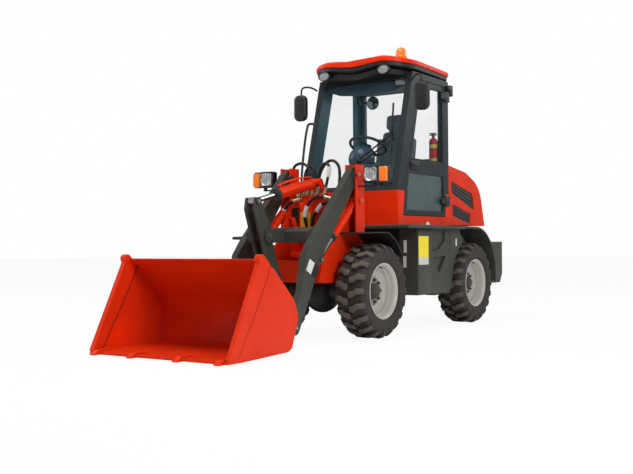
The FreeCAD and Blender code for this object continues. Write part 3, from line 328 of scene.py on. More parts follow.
def label(code, lower=None, split=0.0):
    """A printed plate left blank: one field over another, with a faint scuff."""
    def build(tree, shader):
        base = linear(code)
        scuff = spots(tree, 24, 5.0)
        tone = ramp(tree, scuff.outputs["Fac"],
                    [(0.3, shade(base, 0.93)), (0.7, shade(base, 1.05))])
        top = tone.outputs["Color"]
        if lower:
            where = add(tree, "ShaderNodeTexCoord")
            height = add(tree, "ShaderNodeSeparateXYZ", {"Vector": where.outputs["Object"]})
            above = add(tree, "ShaderNodeMath", {0: height.outputs["Z"], 1: split},
                        operation="GREATER_THAN")
            top = add(tree, "ShaderNodeMix", {
                "Factor": above.outputs[0], "A": linear(lower), "B": top},
                      data_type="RGBA").outputs["Result"]
        tree.links.new(top, shader.inputs["Base Color"])
        rough = add(tree, "ShaderNodeMapRange", {"Value": scuff.outputs["Fac"], "To Min": 0.3,
                                                 "To Max": 0.5})
        tree.links.new(rough.outputs["Result"], shader.inputs["Roughness"])
    return build


def stitched_vinyl(code):
    """Seat vinyl: a pebbled grain with a soft sheen on the crowns."""
    def build(tree, shader):
        base = linear(code)
        where = add(tree, "ShaderNodeTexCoord")
        # The real pebbles are 1.5 mm across, and are drawn at 5 mm so that they show.
        pebble = add(tree, "ShaderNodeTexVoronoi", {"Vector": where.outputs["Object"],
                                                    "Scale": 1000.0 / 5})
        wide = spots(tree, 120, 3.0)
        tone = ramp(tree, wide.outputs["Fac"], [(0.3, shade(base, 0.85)), (0.7, shade(base, 1.15))])
        tree.links.new(tone.outputs["Color"], shader.inputs["Base Color"])
        bump = add(tree, "ShaderNodeBump", {"Height": pebble.outputs["Distance"], "Strength": 0.3,
                                            "Distance": 0.0012})
        tree.links.new(bump.outputs["Normal"], shader.inputs["Normal"])
        shader.inputs["Roughness"].default_value = 0.55
        shader.inputs["Sheen Weight"].default_value = 0.15
    return build


def punched(code):
    """Punched steel sheet behind the hood's slots: rows of holes drawn near black as painted shade."""
    def build(tree, shader):
        base = linear(code)
        where = add(tree, "ShaderNodeTexCoord")
        # The holes are 6 mm apart, and are drawn 11 mm apart so that they show.
        holes_per_metre = 90.0
        holes = add(tree, "ShaderNodeTexVoronoi", {"Vector": where.outputs["Object"],
                                                   "Scale": holes_per_metre, "Randomness": 0.0})
        # Painted shade: each hole's middle is drawn at a quarter of the sheet's colour.
        tone = ramp(tree, holes.outputs["Distance"], [(0.35, shade(base, 0.25)), (0.5, base)])
        tree.links.new(tone.outputs["Color"], shader.inputs["Base Color"])
        bump = add(tree, "ShaderNodeBump", {"Height": holes.outputs["Distance"], "Strength": 0.8,
                                            "Distance": 0.002})
        tree.links.new(bump.outputs["Normal"], shader.inputs["Normal"])
        shader.inputs["Roughness"].default_value = 0.55
    return build


def make_finishes(colours):
    dust = "9C8F7C"

    # Alkyd enamel sprayed on steel plate: an even, softly glossy red, duller with dust low down.
    finish("red_enamel", painted(colours.enamel, "B5401F", 0.34, coat=0.03))
    # The same enamel in grey: the heavy plate looks satin and a little green.
    finish("chassis_enamel", painted(colours.chassis, "6A6B66", 0.46, coat=0.15))
    # Powder coat baked on tube: near black, satin, without runs.
    finish("cab_frame_powder_coat", painted(colours.cab_frame, "59605F", 0.5, coat=0.1))
    # Painted light: the same coat on the frame's inner faces, drawn blue grey for the tint that the
    # glass throws over it.
    finish("cab_frame_painted_glass_tint", painted("3A545F", "55666B", 0.5, coat=0.1))
    # Enamel sprayed on a pressed steel rim: pale, warm and dusty in the dish.
    finish("rim_enamel", painted(colours.rims, dust, 0.38, coat=0.2))
    # Painted shade: the middle of the rim's disc, round the hub, drawn in a flat mid grey darker than
    # the rim.
    finish("rim_centre_painted_shade", painted("7C7C77", dust, 0.5, coat=0.0))
    # Sand-cast iron, oily and unpainted: dark, rough and dull.
    finish("hub_cast_iron", painted("3A3935", dust, 0.66, lift=0.3, coat=0.0))
    # Painted shadow: enamel in dark red, drawn as a thin line along each bucket side strip where the
    # strip's edge casts shade.
    finish("strip_edge_painted_shadow", painted("8E1C08", "6A2A18", 0.5, coat=0.0))
    # Powder coat on a pressed steel bottle: bright cherry red.
    finish("extinguisher_enamel", painted("B5202A", "6E2A22", 0.3))

    # Polypropylene, injection moulded with a leather grain: black, dull and slightly grey.
    finish("moulded_black_plastic", moulded(colours.trim, 0.5))
    # Moulded foam headliner: soft, flat blue grey.
    finish("moulded_headliner", moulded("2B4350", 0.7, 5.0, 0.15))
    # ABS, moulded smooth: dark blue with a soft highlight.
    finish("console_abs", moulded("24394A", 0.34, 4.0, 0.12))
    # Extruded rubber hose with a cloth mark: black with a thin highlight.
    finish("hose_rubber", moulded("141414", 0.42, 2.5, 0.3))
    # Natural rubber, moulded: brownish black walls with patches of dried dirt.
    finish("moulded_tyre_rubber", tyre_wall(colours.rubber, "40372F"))
    # The same rubber where it meets the ground: scuffed, dry and full of dust.
    finish("dusty_tread_rubber", tyre_wall("4A4239", colours.tread_dust))

    # Ground steel pins: bright grey with a soft streak.
    finish("ground_steel", machined("A9ABAA", 0.3))
    # Hard chrome, ground and polished: a sharp bright streak along the rod.
    finish("hard_chrome_rod", machined("D6D8DA", 0.08, (1, 6, 6), 0.04))
    # Zinc plate, yellow passivated: pale gold and a little cloudy.
    finish("zinc_plated_steel", machined("C9C2A8", 0.28))
    # Turned brass: warm yellow.
    finish("turned_brass", machined("B98F45", 0.25))
    # Silvered glass: a clear, cool reflection.
    finish("mirror_silver", machined("A9B3B6", 0.05, lift=0.0))
    # Vacuum-coated reflector, stamped with facets: broken bright patches.
    finish("lamp_reflector", machined("C2C7C9", 0.32, lift=0.8))

    # Toughened float glass, tinted green blue: clear, with a hard shine.
    finish("tinted_toughened_glass", tinted_glass(colours.glass, 0.045))
    # The same glass, drawn greyer and only half clear below the door's waist.
    finish("door_glass_grey_below_waist", tinted_glass("66787A", 0.42, 0.06))
    # Polycarbonate, injection moulded with ribs: deep orange, with a faint painted glow of daylight
    # shining through it.
    finish("amber_polycarbonate_painted_glow", lens(colours.amber, 9.0, glow=0.12))
    # The same in red.
    finish("red_reflector", lens("C01818", 8.0))
    # Pressed lamp glass: clear, with wide ribs.
    finish("clear_lamp_glass", lens("D5D9DA", 13.0, clear=0.68))

    # Screen-printed vinyl plates, left blank: flat fields with faint scuffs.
    finish("yellow_over_grey_plate", label("F2DC16", "C6C8C4", 0.648))
    finish("amber_blank_plate", label("EBA51B"))
    finish("pale_blank_plate", label("D8DAD6"))
    finish("extinguisher_band", label("A9B53A"))

    # PVC leathercloth, embossed: dark blue grey with a soft sheen on the crowns.
    finish("seat_vinyl", stitched_vinyl(colours.seat))
    # Punched steel sheet, painted dark: rows of holes drawn black as painted shade.
    finish("punched_mesh", punched("2A2725"))


# ---------------------------------------------------------------- shaping

def bevel_edges(bm, edges, size, steps=2):
    bmesh.ops.bevel(bm, geom=list(edges), offset=size, offset_type="OFFSET", affect="EDGES",
                    segments=steps, profile=0.5, material=-1, clamp_overlap=True)


def whole(verts):
    """Some vertices with their edges and faces."""
    return (list(verts) + list({e for v in verts for e in v.link_edges})
            + list({f for v in verts for f in v.link_faces}))


def since(bm, count):
    """The vertices made after the first so many."""
    bm.verts.ensure_lookup_table()
    return list(bm.verts)[count:]


def pair(side, one, other):
    """Two distances from the middle as places on one side, the lower one first."""
    return sorted((one * side, other * side))


def block(bm, low, high, rounding=0.0, steps=2, finish_index=0):
    """A box between two corners, its edges rounded."""
    low, high = Vector(low), Vector(high)
    size = high - low
    matrix = Matrix.Translation((low + high) / 2) @ Matrix.Diagonal((*size, 1))
    made = bmesh.ops.create_cube(bm, size=1.0, matrix=matrix)["verts"]
    edges = {e for v in made for e in v.link_edges}
    faces = {f for v in made for f in v.link_faces}
    for face in faces:
        face.material_index = finish_index
    if rounding:
        bevel_edges(bm, edges, rounding, steps)
    return made


def case(bm, low, high, corner, rim, finish_index=0):
    """A housing facing along X, with wide corners seen from the front and a rounded rim."""
    low, high = Vector(low), Vector(high)
    matrix = Matrix.Translation((low + high) / 2) @ Matrix.Diagonal((*(high - low), 1))
    made = bmesh.ops.create_cube(bm, size=1.0, matrix=matrix)["verts"]
    for face in {f for v in made for f in v.link_faces}:
        face.material_index = finish_index
    before = {f for f in bm.faces if not any(v in made for v in f.verts)}
    lengthways = {e for v in made for e in v.link_edges
                  if abs(e.verts[0].co.x - e.verts[1].co.x) > 1e-4}
    bevel_edges(bm, lengthways, corner, 5)
    outline = {e for f in bm.faces if f not in before and abs(f.normal.x) > 0.99 for e in f.edges}
    bevel_edges(bm, outline, rim, 3)


def rod(bm, start, end, radius, sides=24, tip=None, finish_index=0):
    """A round bar from start to end; tip is its radius at the end."""
    start, end = Vector(start), Vector(end)
    run = end - start
    turn = run.to_track_quat("Z", "Y").to_matrix().to_4x4()
    matrix = Matrix.Translation((start + end) / 2) @ turn
    made = bmesh.ops.create_cone(bm, cap_ends=True, segments=sides, radius1=radius,
                                 radius2=radius if tip is None else tip, depth=run.length,
                                 matrix=matrix)["verts"]
    for face in {f for v in made for f in v.link_faces}:
        face.material_index = finish_index


def ball(bm, centre, radius, scale=(1, 1, 1)):
    matrix = Matrix.Translation(centre) @ Matrix.Diagonal((*scale, 1))
    bmesh.ops.create_uvsphere(bm, u_segments=24, v_segments=14, radius=radius, matrix=matrix)


def slab(bm, points, run, finish_index=0):
    """A flat outline of a few corners, pushed along run."""
    corners = [bm.verts.new(p) for p in points]
    face = bm.faces.new(corners)
    face.material_index = finish_index
    made = bmesh.ops.extrude_face_region(bm, geom=[face])["geom"]
    moved = [v for v in made if isinstance(v, bmesh.types.BMVert)]
    bmesh.ops.translate(bm, verts=moved, vec=run)
    for one in made:
        if isinstance(one, bmesh.types.BMFace):
            one.material_index = finish_index


def spun(bm, profile, centre, axis, steps=64, finish_index=0):
    """Spins a profile of (along, out) points fully round an axis through centre."""
    axis, centre = Vector(axis).normalized(), Vector(centre)
    out = axis.orthogonal().normalized()
    line = [bm.verts.new(centre + axis * along + out * reach) for along, reach in profile]
    edges = [bm.edges.new(pair) for pair in zip(line, line[1:])]
    old = set(bm.faces)
    bmesh.ops.spin(bm, geom=line + edges, cent=centre, axis=axis, dvec=(0, 0, 0), angle=math.tau,
                   space=Matrix.Identity(4), steps=steps, use_merge=True, use_duplicate=False)
    made = [f for f in bm.faces if f not in old]
    for face in made:
        face.material_index = finish_index
    return made


def risen(bm, face, height):
    """Pulls a face up off its outline and returns the face at the top."""
    made = bmesh.ops.extrude_face_region(bm, geom=[face], use_keep_orig=True)["geom"]
    top = next(f for f in made if isinstance(f, bmesh.types.BMFace))
    bmesh.ops.translate(bm, verts=top.verts[:], vec=(0, 0, height))
    return top


def shrunk(bm, face, share, lift):
    """Insets a face towards its middle by a share of its size, and lifts it."""
    made = bmesh.ops.extrude_face_region(bm, geom=[face])["geom"]
    top = next(f for f in made if isinstance(f, bmesh.types.BMFace))
    middle = face_middle(top)
    bmesh.ops.scale(bm, verts=top.verts[:], vec=(share, share, 1.0),
                    space=Matrix.Translation(-middle))
    bmesh.ops.translate(bm, verts=top.verts[:], vec=(0, 0, lift))
    return top


def face_middle(face):
    """The middle of a level face's box, at its height."""
    xs, ys = [v.co.x for v in face.verts], [v.co.y for v in face.verts]
    return Vector(((min(xs) + max(xs)) / 2, (min(ys) + max(ys)) / 2, face.calc_center_median().z))


def arrayed(bm, verts, centre, axis, count):
    """Copies a shape all round an axis."""
    bmesh.ops.spin(bm, geom=whole(verts), cent=centre, axis=axis, dvec=(0, 0, 0),
                   space=Matrix.Identity(4), angle=math.tau * (count - 1) / count, steps=count - 1,
                   use_merge=False, use_duplicate=True)


def nut(bm, foot, axis, across, tall, finish_index=0):
    """A hexagon nut with a washer and the stud's end."""
    foot, rise = Vector(foot), Vector(axis).normalized() * tall
    washer, stud = 0.18, 1.35
    rod(bm, foot, foot + rise * washer, across * 0.72, 20, finish_index=finish_index)
    rod(bm, foot + rise * washer, foot + rise, across * 0.55, 6, finish_index=finish_index)
    rod(bm, foot + rise, foot + rise * stud, across * 0.28, 12, finish_index=finish_index)


def piece(name, bm, finishes, body, edge=0.0, steps=2, replaces=(), smooth=35):
    """Makes the finished piece and lets it ride on its body."""
    bmesh.ops.recalc_face_normals(bm, faces=bm.faces)
    mesh = bpy.data.meshes.new(name)
    bm.to_mesh(mesh)
    bm.free()
    for one in finishes:
        mesh.materials.append(FINISHES[one])
    mesh.shade_smooth()
    mesh.set_sharp_from_angle(angle=math.radians(smooth))
    obj = bpy.data.objects.new(name, mesh)
    bpy.context.scene.collection.objects.link(obj)
    if edge:
        round_off(obj, edge, steps)
    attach(obj, body)
    if replaces:
        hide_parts(*replaces)
    return obj


def round_off(obj, size, steps=2):
    """Rounds an object's sharp edges and keeps its flats flat."""
    bevel = obj.modifiers.new("Edges", "BEVEL")
    bevel.width, bevel.segments, bevel.limit_method = size, steps, "ANGLE"
    bevel.angle_limit = math.radians(32)
    bevel.use_clamp_overlap = True
    normals = obj.modifiers.new("Normals", "WEIGHTED_NORMAL")
    normals.keep_sharp = True


def tube(name, runs, radius, finishes, body, order=3, sides=5):
    """Bent hoses or bars, each along a smooth line through its points."""
    curve = bpy.data.curves.new(name, "CURVE")
    curve.dimensions = "3D"
    curve.bevel_depth, curve.bevel_resolution, curve.use_fill_caps = radius, sides, True
    for points in runs:
        line = curve.splines.new("NURBS")
        line.points.add(len(points) - 1)
        for place, point in zip(line.points, points):
            place.co = (*point, 1.0)
        line.order_u = order
        line.use_endpoint_u = True
        line.resolution_u = 8
    for one in finishes:
        curve.materials.append(FINISHES[one])
    obj = bpy.data.objects.new(name, curve)
    bpy.context.scene.collection.objects.link(obj)
    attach(obj, body)
    return obj


def sunk_panel(bm, corners, side, distance, depth, rounding, finish_index):
    """Sinks a panel with rounded corners into the flat side at that distance from the middle."""
    def flat():
        return [f for f in bm.faces
                if f.normal.y * side > 0.99 and f.calc_center_median().y * side > distance]

    middle = sum((Vector((x, 0, z)) for x, z in corners), Vector()) / len(corners)
    cuts = []
    for (ax, az), (bx, bz) in zip(corners, corners[1:] + corners[:1]):
        point, run = Vector((ax, 0, az)), Vector((bx - ax, 0, bz - az)).normalized()
        normal = run.cross(Vector(ACROSS))
        if normal.dot(middle - point) > 0:
            normal.negate()
        cuts.append((point, normal))
        faces = flat()
        geometry = (faces + list({e for f in faces for e in f.edges})
                    + list({v for f in faces for v in f.verts}))
        bmesh.ops.bisect_plane(bm, geom=geometry, dist=1e-6, plane_co=point, plane_no=normal)
    inner = [f for f in flat() if all((f.calc_center_median() - point).dot(normal) < 0
                                      for point, normal in cuts)]
    if not inner:
        raise RuntimeError("the panel lies outside the flat side")
    made = bmesh.ops.extrude_face_region(bm, geom=inner)["geom"]
    bmesh.ops.delete(bm, geom=[f for f in inner if f.is_valid], context="FACES")
    sunk = [v for v in made if isinstance(v, bmesh.types.BMVert)]
    bmesh.ops.translate(bm, verts=sunk, vec=(0, -side * depth, 0))
    for face in made:
        if isinstance(face, bmesh.types.BMFace):
            face.material_index = finish_index
    uprights = {e for v in sunk for e in v.link_edges
                if abs(e.verts[0].co.y - e.verts[1].co.y) > depth * 0.9
                and len(e.link_faces) == 2 and e.calc_face_angle(0) > 0.3}
    bevel_edges(bm, uprights, rounding, 4)


def along(points, share):
    """The place at a share of the way along a hose's smooth line."""
    place = share * (len(points) - 1)
    index = min(int(place), len(points) - 2)
    start, end = Vector(points[index]), Vector(points[index + 1])
    middle = (start + end) / 2
    near = (Vector(points[index - 1]) + start) / 2 if index else start
    far = (end + Vector(points[index + 2])) / 2 if index + 2 < len(points) else end
    t = place - index
    if t < 0.5:
        t += 0.5
        return near * (1 - t) ** 2 + start * 2 * t * (1 - t) + middle * t ** 2
    t -= 0.5
    return middle * (1 - t) ** 2 + end * 2 * t * (1 - t) + far * t ** 2


def wrap(bm, points, start, end, radius):
    """A sleeve round part of a hose."""
    steps = 6
    places = [along(points, start + (end - start) * i / steps) for i in range(steps + 1)]
    for one, other in zip(places, places[1:]):
        rod(bm, one, other, radius, 14)


def nodes_ending(suffix):
    """The CAD nodes whose names end so."""
    found = [node for node in frame["nodes"] if node.endswith(suffix)]
    if not found:
        raise RuntimeError(f"no node ends with {suffix}")
    return found


def body_of(node):
    for body, members in frame["record"]["behaviour"]["bodies"].items():
        if node in members:
            return body
    raise RuntimeError(f"{node} is on no body")


def solid_copy(node):
    """A CAD node's shape with its loose triangles merged into whole faces."""
    bm = bmesh.new()
    bm.from_mesh(frame["nodes"][node].data)
    bmesh.ops.remove_doubles(bm, verts=bm.verts, dist=1e-5)
    bmesh.ops.dissolve_limit(bm, angle_limit=math.radians(0.6), use_dissolve_boundaries=False,
                             verts=bm.verts, edges=bm.edges)
    for face in bm.faces:
        face.material_index = 0
    return bm


def dress(node, finishes, edge, bm=None):
    """The CAD node's own shape with rounded edges and its finish, in the node's place."""
    piece(node + "_finished", bm or solid_copy(node), finishes, body_of(node), edge,
          replaces=(node,))


def cover(node, material):
    """Gives a CAD node that is shown as it is its finish."""
    obj = frame["nodes"][node]
    if not obj.material_slots:
        obj.data.materials.append(None)
    for place in obj.material_slots:
        place.material = FINISHES[material]


# ---------------------------------------------------------------- operators

class LoaderOperator(bpy.types.Operator):
    """Shared setting for the loader's operators."""
    bl_options = {"REGISTER", "UNDO"}


def seen_directly(tree):
    """1 for rays from the camera, straight or through glass, and 0 for the rest."""
    path = add(tree, "ShaderNodeLightPath")
    return add(tree, "ShaderNodeMath", {0: path.outputs["Is Camera Ray"],
                                        1: path.outputs["Is Transmission Ray"]},
               operation="MAXIMUM").outputs[0]


class LOADER_OT_stage(LoaderOperator):
    """Pale floor, soft studio light and the camera"""
    bl_idname = "loader.stage"
    bl_label = "Stage"

    def execute(self, context):
        scene = context.scene
        sky_light, floor_glow = 0.37, 0.93
        world = bpy.data.worlds.new("studio_sky")
        scene.world = world
        world.use_nodes = True
        tree = world.node_tree
        tree.nodes.clear()
        strength = add(tree, "ShaderNodeMapRange", {
            "Value": seen_directly(tree), "To Min": sky_light, "To Max": 1.0})
        sky = add(tree, "ShaderNodeBackground", {"Color": grey(1.0),
                                                 "Strength": strength.outputs["Result"]})
        add(tree, "ShaderNodeOutputWorld", {"Surface": sky.outputs["Background"]})

        bm = bmesh.new()
        bmesh.ops.create_grid(bm, x_segments=8, y_segments=8, size=45.0,
                              matrix=Matrix.Translation((0, 0, -0.002)))
        mesh = bpy.data.meshes.new("studio_floor")
        bm.to_mesh(mesh)
        bm.free()
        floor = bpy.data.objects.new("studio_floor", mesh)
        scene.collection.objects.link(floor)
        material = bpy.data.materials.new("painted_studio_floor")
        material.use_nodes = True
        tree = material.node_tree
        tree.nodes.clear()
        paint = add(tree, "ShaderNodeBsdfDiffuse", {"Color": linear("F4F4F4")})
        glow = add(tree, "ShaderNodeEmission", {"Color": grey(1.0), "Strength": 1.0})
        share = add(tree, "ShaderNodeMath", {0: seen_directly(tree), 1: floor_glow},
                    operation="MULTIPLY")
        both = add(tree, "ShaderNodeMixShader", {0: share.outputs[0], 1: paint.outputs[0],
                                                 2: glow.outputs[0]})
        add(tree, "ShaderNodeOutputMaterial", {"Surface": both.outputs[0]})
        mesh.materials.append(material)

        target = Vector((-0.1, 0.0, 0.9))
        # Each lamp: its name, place, width in metres and power in watts.
        lamps = (("key", (4.5, 9.0, 5.0), 3.0, 420.0), ("fill", (2.0, -9.0, 4.5), 4.0, 220.0),
                 ("rim", (-7.0, 5.0, 5.0), 5.0, 170.0), ("top", (2.6, 0.0, 7.5), 4.0, 330.0))
        for name, place, size, power in lamps:
            lamp = bpy.data.lights.new(name + "_softbox", "AREA")
            lamp.shape, lamp.size, lamp.energy = "DISK", size, power
            holder = bpy.data.objects.new(name + "_softbox", lamp)
            holder.location = place
            holder.rotation_mode = "QUATERNION"
            holder.rotation_quaternion = (target - Vector(place)).to_track_quat("-Z", "Y")
            scene.collection.objects.link(holder)

        data = bpy.data.cameras.new("studio_camera")
        data.lens, data.sensor_width = 53.14, 36.0
        data.clip_start, data.clip_end = 0.05, 200.0
        camera = bpy.data.objects.new("studio_camera", data)
        heading, pitch, roll = math.radians(213.644), math.radians(0.460), math.radians(-0.393)
        quarter = math.radians(90)
        turn = (Matrix.Rotation(heading - quarter, 4, "Z")
                @ Matrix.Rotation(quarter + pitch, 4, "X")
                @ Matrix.Rotation(roll, 4, "Z"))
        camera.matrix_world = Matrix.Translation((6.9357, 4.3371, 0.7683)) @ turn
        scene.collection.objects.link(camera)
        scene.camera = camera
        scene.view_settings.view_transform = "Standard"
        return {"FINISHED"}


class LOADER_OT_finishes(LoaderOperator):
    """All finishes, and the CAD nodes that are shown as they are"""
    bl_idname = "loader.finishes"
    bl_label = "Finishes"

    def execute(self, context):
        make_finishes(context.scene.loader_colours)
        cover("windscreen", "tinted_toughened_glass")
        cover("cab_windows", "tinted_toughened_glass")
        waist = 1.45
        bm = solid_copy("door_glass")
        for face in bm.faces:
            face.material_index = int(face.calc_center_median().z < waist)
        dress("door_glass", ["tinted_toughened_glass", "door_glass_grey_below_waist"], 0.0, bm=bm)
        for node in ("lift_rods", "tilt_rod", "steering_rod"):
            cover(node, "hard_chrome_rod")
        for node in ("rocker_pin", "link_pin", "hitch_pins"):
            cover(node, "ground_steel")
        cover("engine_block", "hub_cast_iron")
        return {"FINISHED"}


class LOADER_OT_frames(LoaderOperator):
    """Plate work: both frames, boom, rocker, cylinders, deck, boxes and fenders"""
    bl_idname = "loader.frames"
    bl_label = "Frames and plate work"

    def execute(self, context):
        rounding = context.scene.loader_sizes.edge_rounding
        for node, one, size in (
                ("rear_frame", "chassis_enamel", rounding),
                ("deck", "chassis_enamel", rounding * 2),
                ("rear_fenders", "chassis_enamel", rounding),
                ("counterweight", "chassis_enamel", rounding * 3),
                ("front_axle", "hub_cast_iron", rounding),
                ("rear_axle", "hub_cast_iron", rounding),
                ("front_frame", "red_enamel", rounding * 0.8),
                ("front_fenders", "moulded_black_plastic", rounding * 0.6),
                ("boom", "chassis_enamel", rounding),
                ("rocker", "chassis_enamel", rounding),
                ("tilt_link", "chassis_enamel", rounding),
                ("quick_hitch", "chassis_enamel", rounding),
                ("bucket", "red_enamel", rounding * 0.7),
                ("lift_barrels", "red_enamel", rounding * 0.5),
                ("tilt_barrel", "red_enamel", rounding * 0.5),
                ("steering_barrel", "red_enamel", rounding * 0.5),
                ("seat_base", "moulded_black_plastic", rounding),
                ("door", "cab_frame_powder_coat", rounding * 0.7),
                ("steering_wheel", "moulded_black_plastic", rounding * 0.4)):
            dress(node, [one], size)
        return {"FINISHED"}


class LOADER_OT_axle_housing(LoaderOperator):
    """Round black housing of the front differential"""
    bl_idname = "loader.axle_housing"
    bl_label = "Axle housing"

    def execute(self, context):
        x, half_case = 0.330, 0.235
        bm = bmesh.new()
        ball(bm, (x, 0, 0.372), 0.178, (1, 0.86, 1))
        rod(bm, (x, -half_case, AXLE_HEIGHT), (x, half_case, AXLE_HEIGHT), 0.098, 40)
        piece("front_differential", bm, ["moulded_black_plastic"], "front_frame", 0.006, 2)
        return {"FINISHED"}


class LOADER_OT_bucket_edges(LoaderOperator):
    """Side strips with raised ears on the bucket, with lines of painted shadow along them"""
    bl_idname = "loader.bucket_edges"
    bl_label = "Bucket edges"

    def execute(self, context):
        outline = [(2.361, 0.036), (2.040, 0.655), (2.047, 0.690), (2.030, 0.701), (1.998, 0.702),
                   (1.925, 0.640), (1.955, 0.560), (2.081, 0.344), (2.201, 0.159), (2.275, 0.040)]
        ear_x, ear_z = 2.018, 0.674
        bm = bmesh.new()
        for side in SIDES:
            slab(bm, [(x, 0.594 * side, z) for x, z in outline], (0, 0.038 * side, 0))
            rod(bm, (ear_x, 0.590 * side, ear_z), (ear_x, 0.638 * side, ear_z), 0.032, 32)
        piece("bucket_side_strips", bm, ["red_enamel"], "bucket", 0.003, 2)
        # Painted shadow: thin dark red lines along each side strip's inner edge stand in for the shade
        # at the strip's edge.
        shadow_line = ((1.924, 0.628), (1.951, 0.556), (2.077, 0.340), (2.197, 0.157), (2.268, 0.044))
        outer_y, inner_y = 0.6215, 0.600
        shadow_lines = [[(x, y * side, z) for x, z in shadow_line] for side in SIDES for y in (outer_y, inner_y)]
        tube("bucket_strip_painted_shadow_lines", shadow_lines, 0.008, ["strip_edge_painted_shadow"], "bucket", order=2,
             sides=2)
        return {"FINISHED"}


class LOADER_OT_boom_details(LoaderOperator):
    """Couplers on the right arm, pin caps and a blank plate on the left arm"""
    bl_idname = "loader.boom_details"
    bl_label = "Boom details"

    def execute(self, context):
        bm = bmesh.new()
        pale = ((1.051, 0.660), (0.986, 0.625), (1.040, 0.541), (1.102, 0.576))
        dark = ((0.986, 0.625), (0.921, 0.591), (0.977, 0.506), (1.040, 0.541))
        for index, corners in enumerate((pale, dark)):
            slab(bm, [(x, ARM_FACE_Y, z) for x, z in corners], (0, 0.003, 0), index)
        piece("arm_blank_plate", bm, ["pale_blank_plate", "moulded_black_plastic"], "boom")

        bm = bmesh.new()
        block(bm, (0.690, -0.375, 0.670), (0.800, -ARM_FACE_Y, 0.860), 0.004)
        block(bm, (0.715, -0.440, 0.690), (0.785, -0.372, 0.840), 0.010)
        lever_x, lever_z = 0.750, 0.826
        rod(bm, (lever_x, -0.372, lever_z), (lever_x, -0.585, lever_z), 0.009, 16)
        rod(bm, (lever_x, -0.530, lever_z), (lever_x, -0.628, lever_z), 0.015, 16, 0.012)
        for x, z in ((0.730, 0.715), (0.770, 0.750), (0.735, 0.790)):
            rod(bm, (x, -0.438, z), (x, -0.480, z), 0.020, 20)
            rod(bm, (x, -0.480, z), (x, -0.520, z - 0.01), 0.014, 20)
            rod(bm, (x, -0.520, z - 0.01), (x, -0.528, z - 0.012), 0.017, 20)
        piece("coupler_block", bm, ["hub_cast_iron"], "boom", 0.001)

        bm = bmesh.new()
        for side in SIDES:
            for x, z in (HITCH_PIN, LIFT_HEAD):
                foot = Vector((x, ARM_FACE_Y * side, z))
                rod(bm, foot, foot + Vector((0, 0.012 * side, 0)), 0.026, 28)
                nut(bm, foot + Vector((0, 0.011 * side, 0)), (0, side, 0), 0.015, 0.008, 1)
        piece("arm_pin_caps", bm, ["chassis_enamel", "zinc_plated_steel"], "boom", 0.001)

        bm = bmesh.new()
        for side in SIDES:
            for (x, z), radius in ((ROCKER_PIN, 0.040), (TILT_HEAD, 0.030), (LINK_PIN, 0.026)):
                foot = Vector((x, 0.049 * side, z))
                rod(bm, foot, foot + Vector((0, 0.010 * side, 0)), radius, 28)
                rod(bm, foot, foot + Vector((0, 0.014 * side, 0)), radius * 0.5, 20, finish_index=1)
        piece("rocker_pin_caps", bm, ["chassis_enamel", "ground_steel"], "rocker", 0.001)
        return {"FINISHED"}


def cylinder_line(base, head):
    """A cylinder's base pin, the way to its head pin, and the way up off its top."""
    start, end = (Vector((x, 0, z)) for x, z in (base, head))
    run = (end - start).normalized()
    return start, run, Vector((-run.z, 0, run.x))


class LOADER_OT_cylinder_details(LoaderOperator):
    """Glands, ports and hard lines on the tilt and lift cylinders"""
    bl_idname = "loader.cylinder_details"
    bl_label = "Cylinder details"

    def execute(self, context):
        base, run, up = cylinder_line(TILT_BASE, TILT_HEAD)
        bm = bmesh.new()
        rod(bm, base + run * 0.568, base + run * 0.600, 0.049, 32)
        rod(bm, base + run * 0.600, base + run * 0.606, 0.036, 32)
        for reach in (0.130, 0.545):
            rod(bm, base + run * reach, base + run * reach + up * 0.062, 0.014, 16)
        piece("tilt_cylinder_gland", bm, ["hub_cast_iron"], "tilt_barrel", 0.001)
        lines = [[base + run * 0.545 + up * 0.055 + Vector((0, y, 0)),
                  base + run * 0.520 + up * 0.078 + Vector((0, y, 0)),
                  base + run * 0.160 + up * 0.074 + Vector((0, y, 0)),
                  base + run * 0.110 + up * 0.060 + Vector((0, y * 2, 0))] for y in (-0.012, 0.014)]
        tube("tilt_cylinder_lines", lines, 0.006, ["red_enamel"], "tilt_barrel")

        base, run, up = cylinder_line(LIFT_BASE, LIFT_HEAD)
        bends = ((0.435, 0.030), (0.415, 0.046), (0.170, 0.046), (0.150, 0.030))
        bm = bmesh.new()
        lines = []
        for side in SIDES:
            off = Vector((0, LIFT_BARREL_Y * side, 0))
            rod(bm, base + off + run * 0.452, base + off + run * 0.474, 0.039, 32)
            lines.append([base + off + run * reach + up * high for reach, high in bends])
        piece("lift_cylinder_glands", bm, ["hub_cast_iron"], "lift_barrels", 0.001)
        tube("lift_cylinder_lines", lines, 0.005, ["red_enamel"], "lift_barrels")
        return {"FINISHED"}


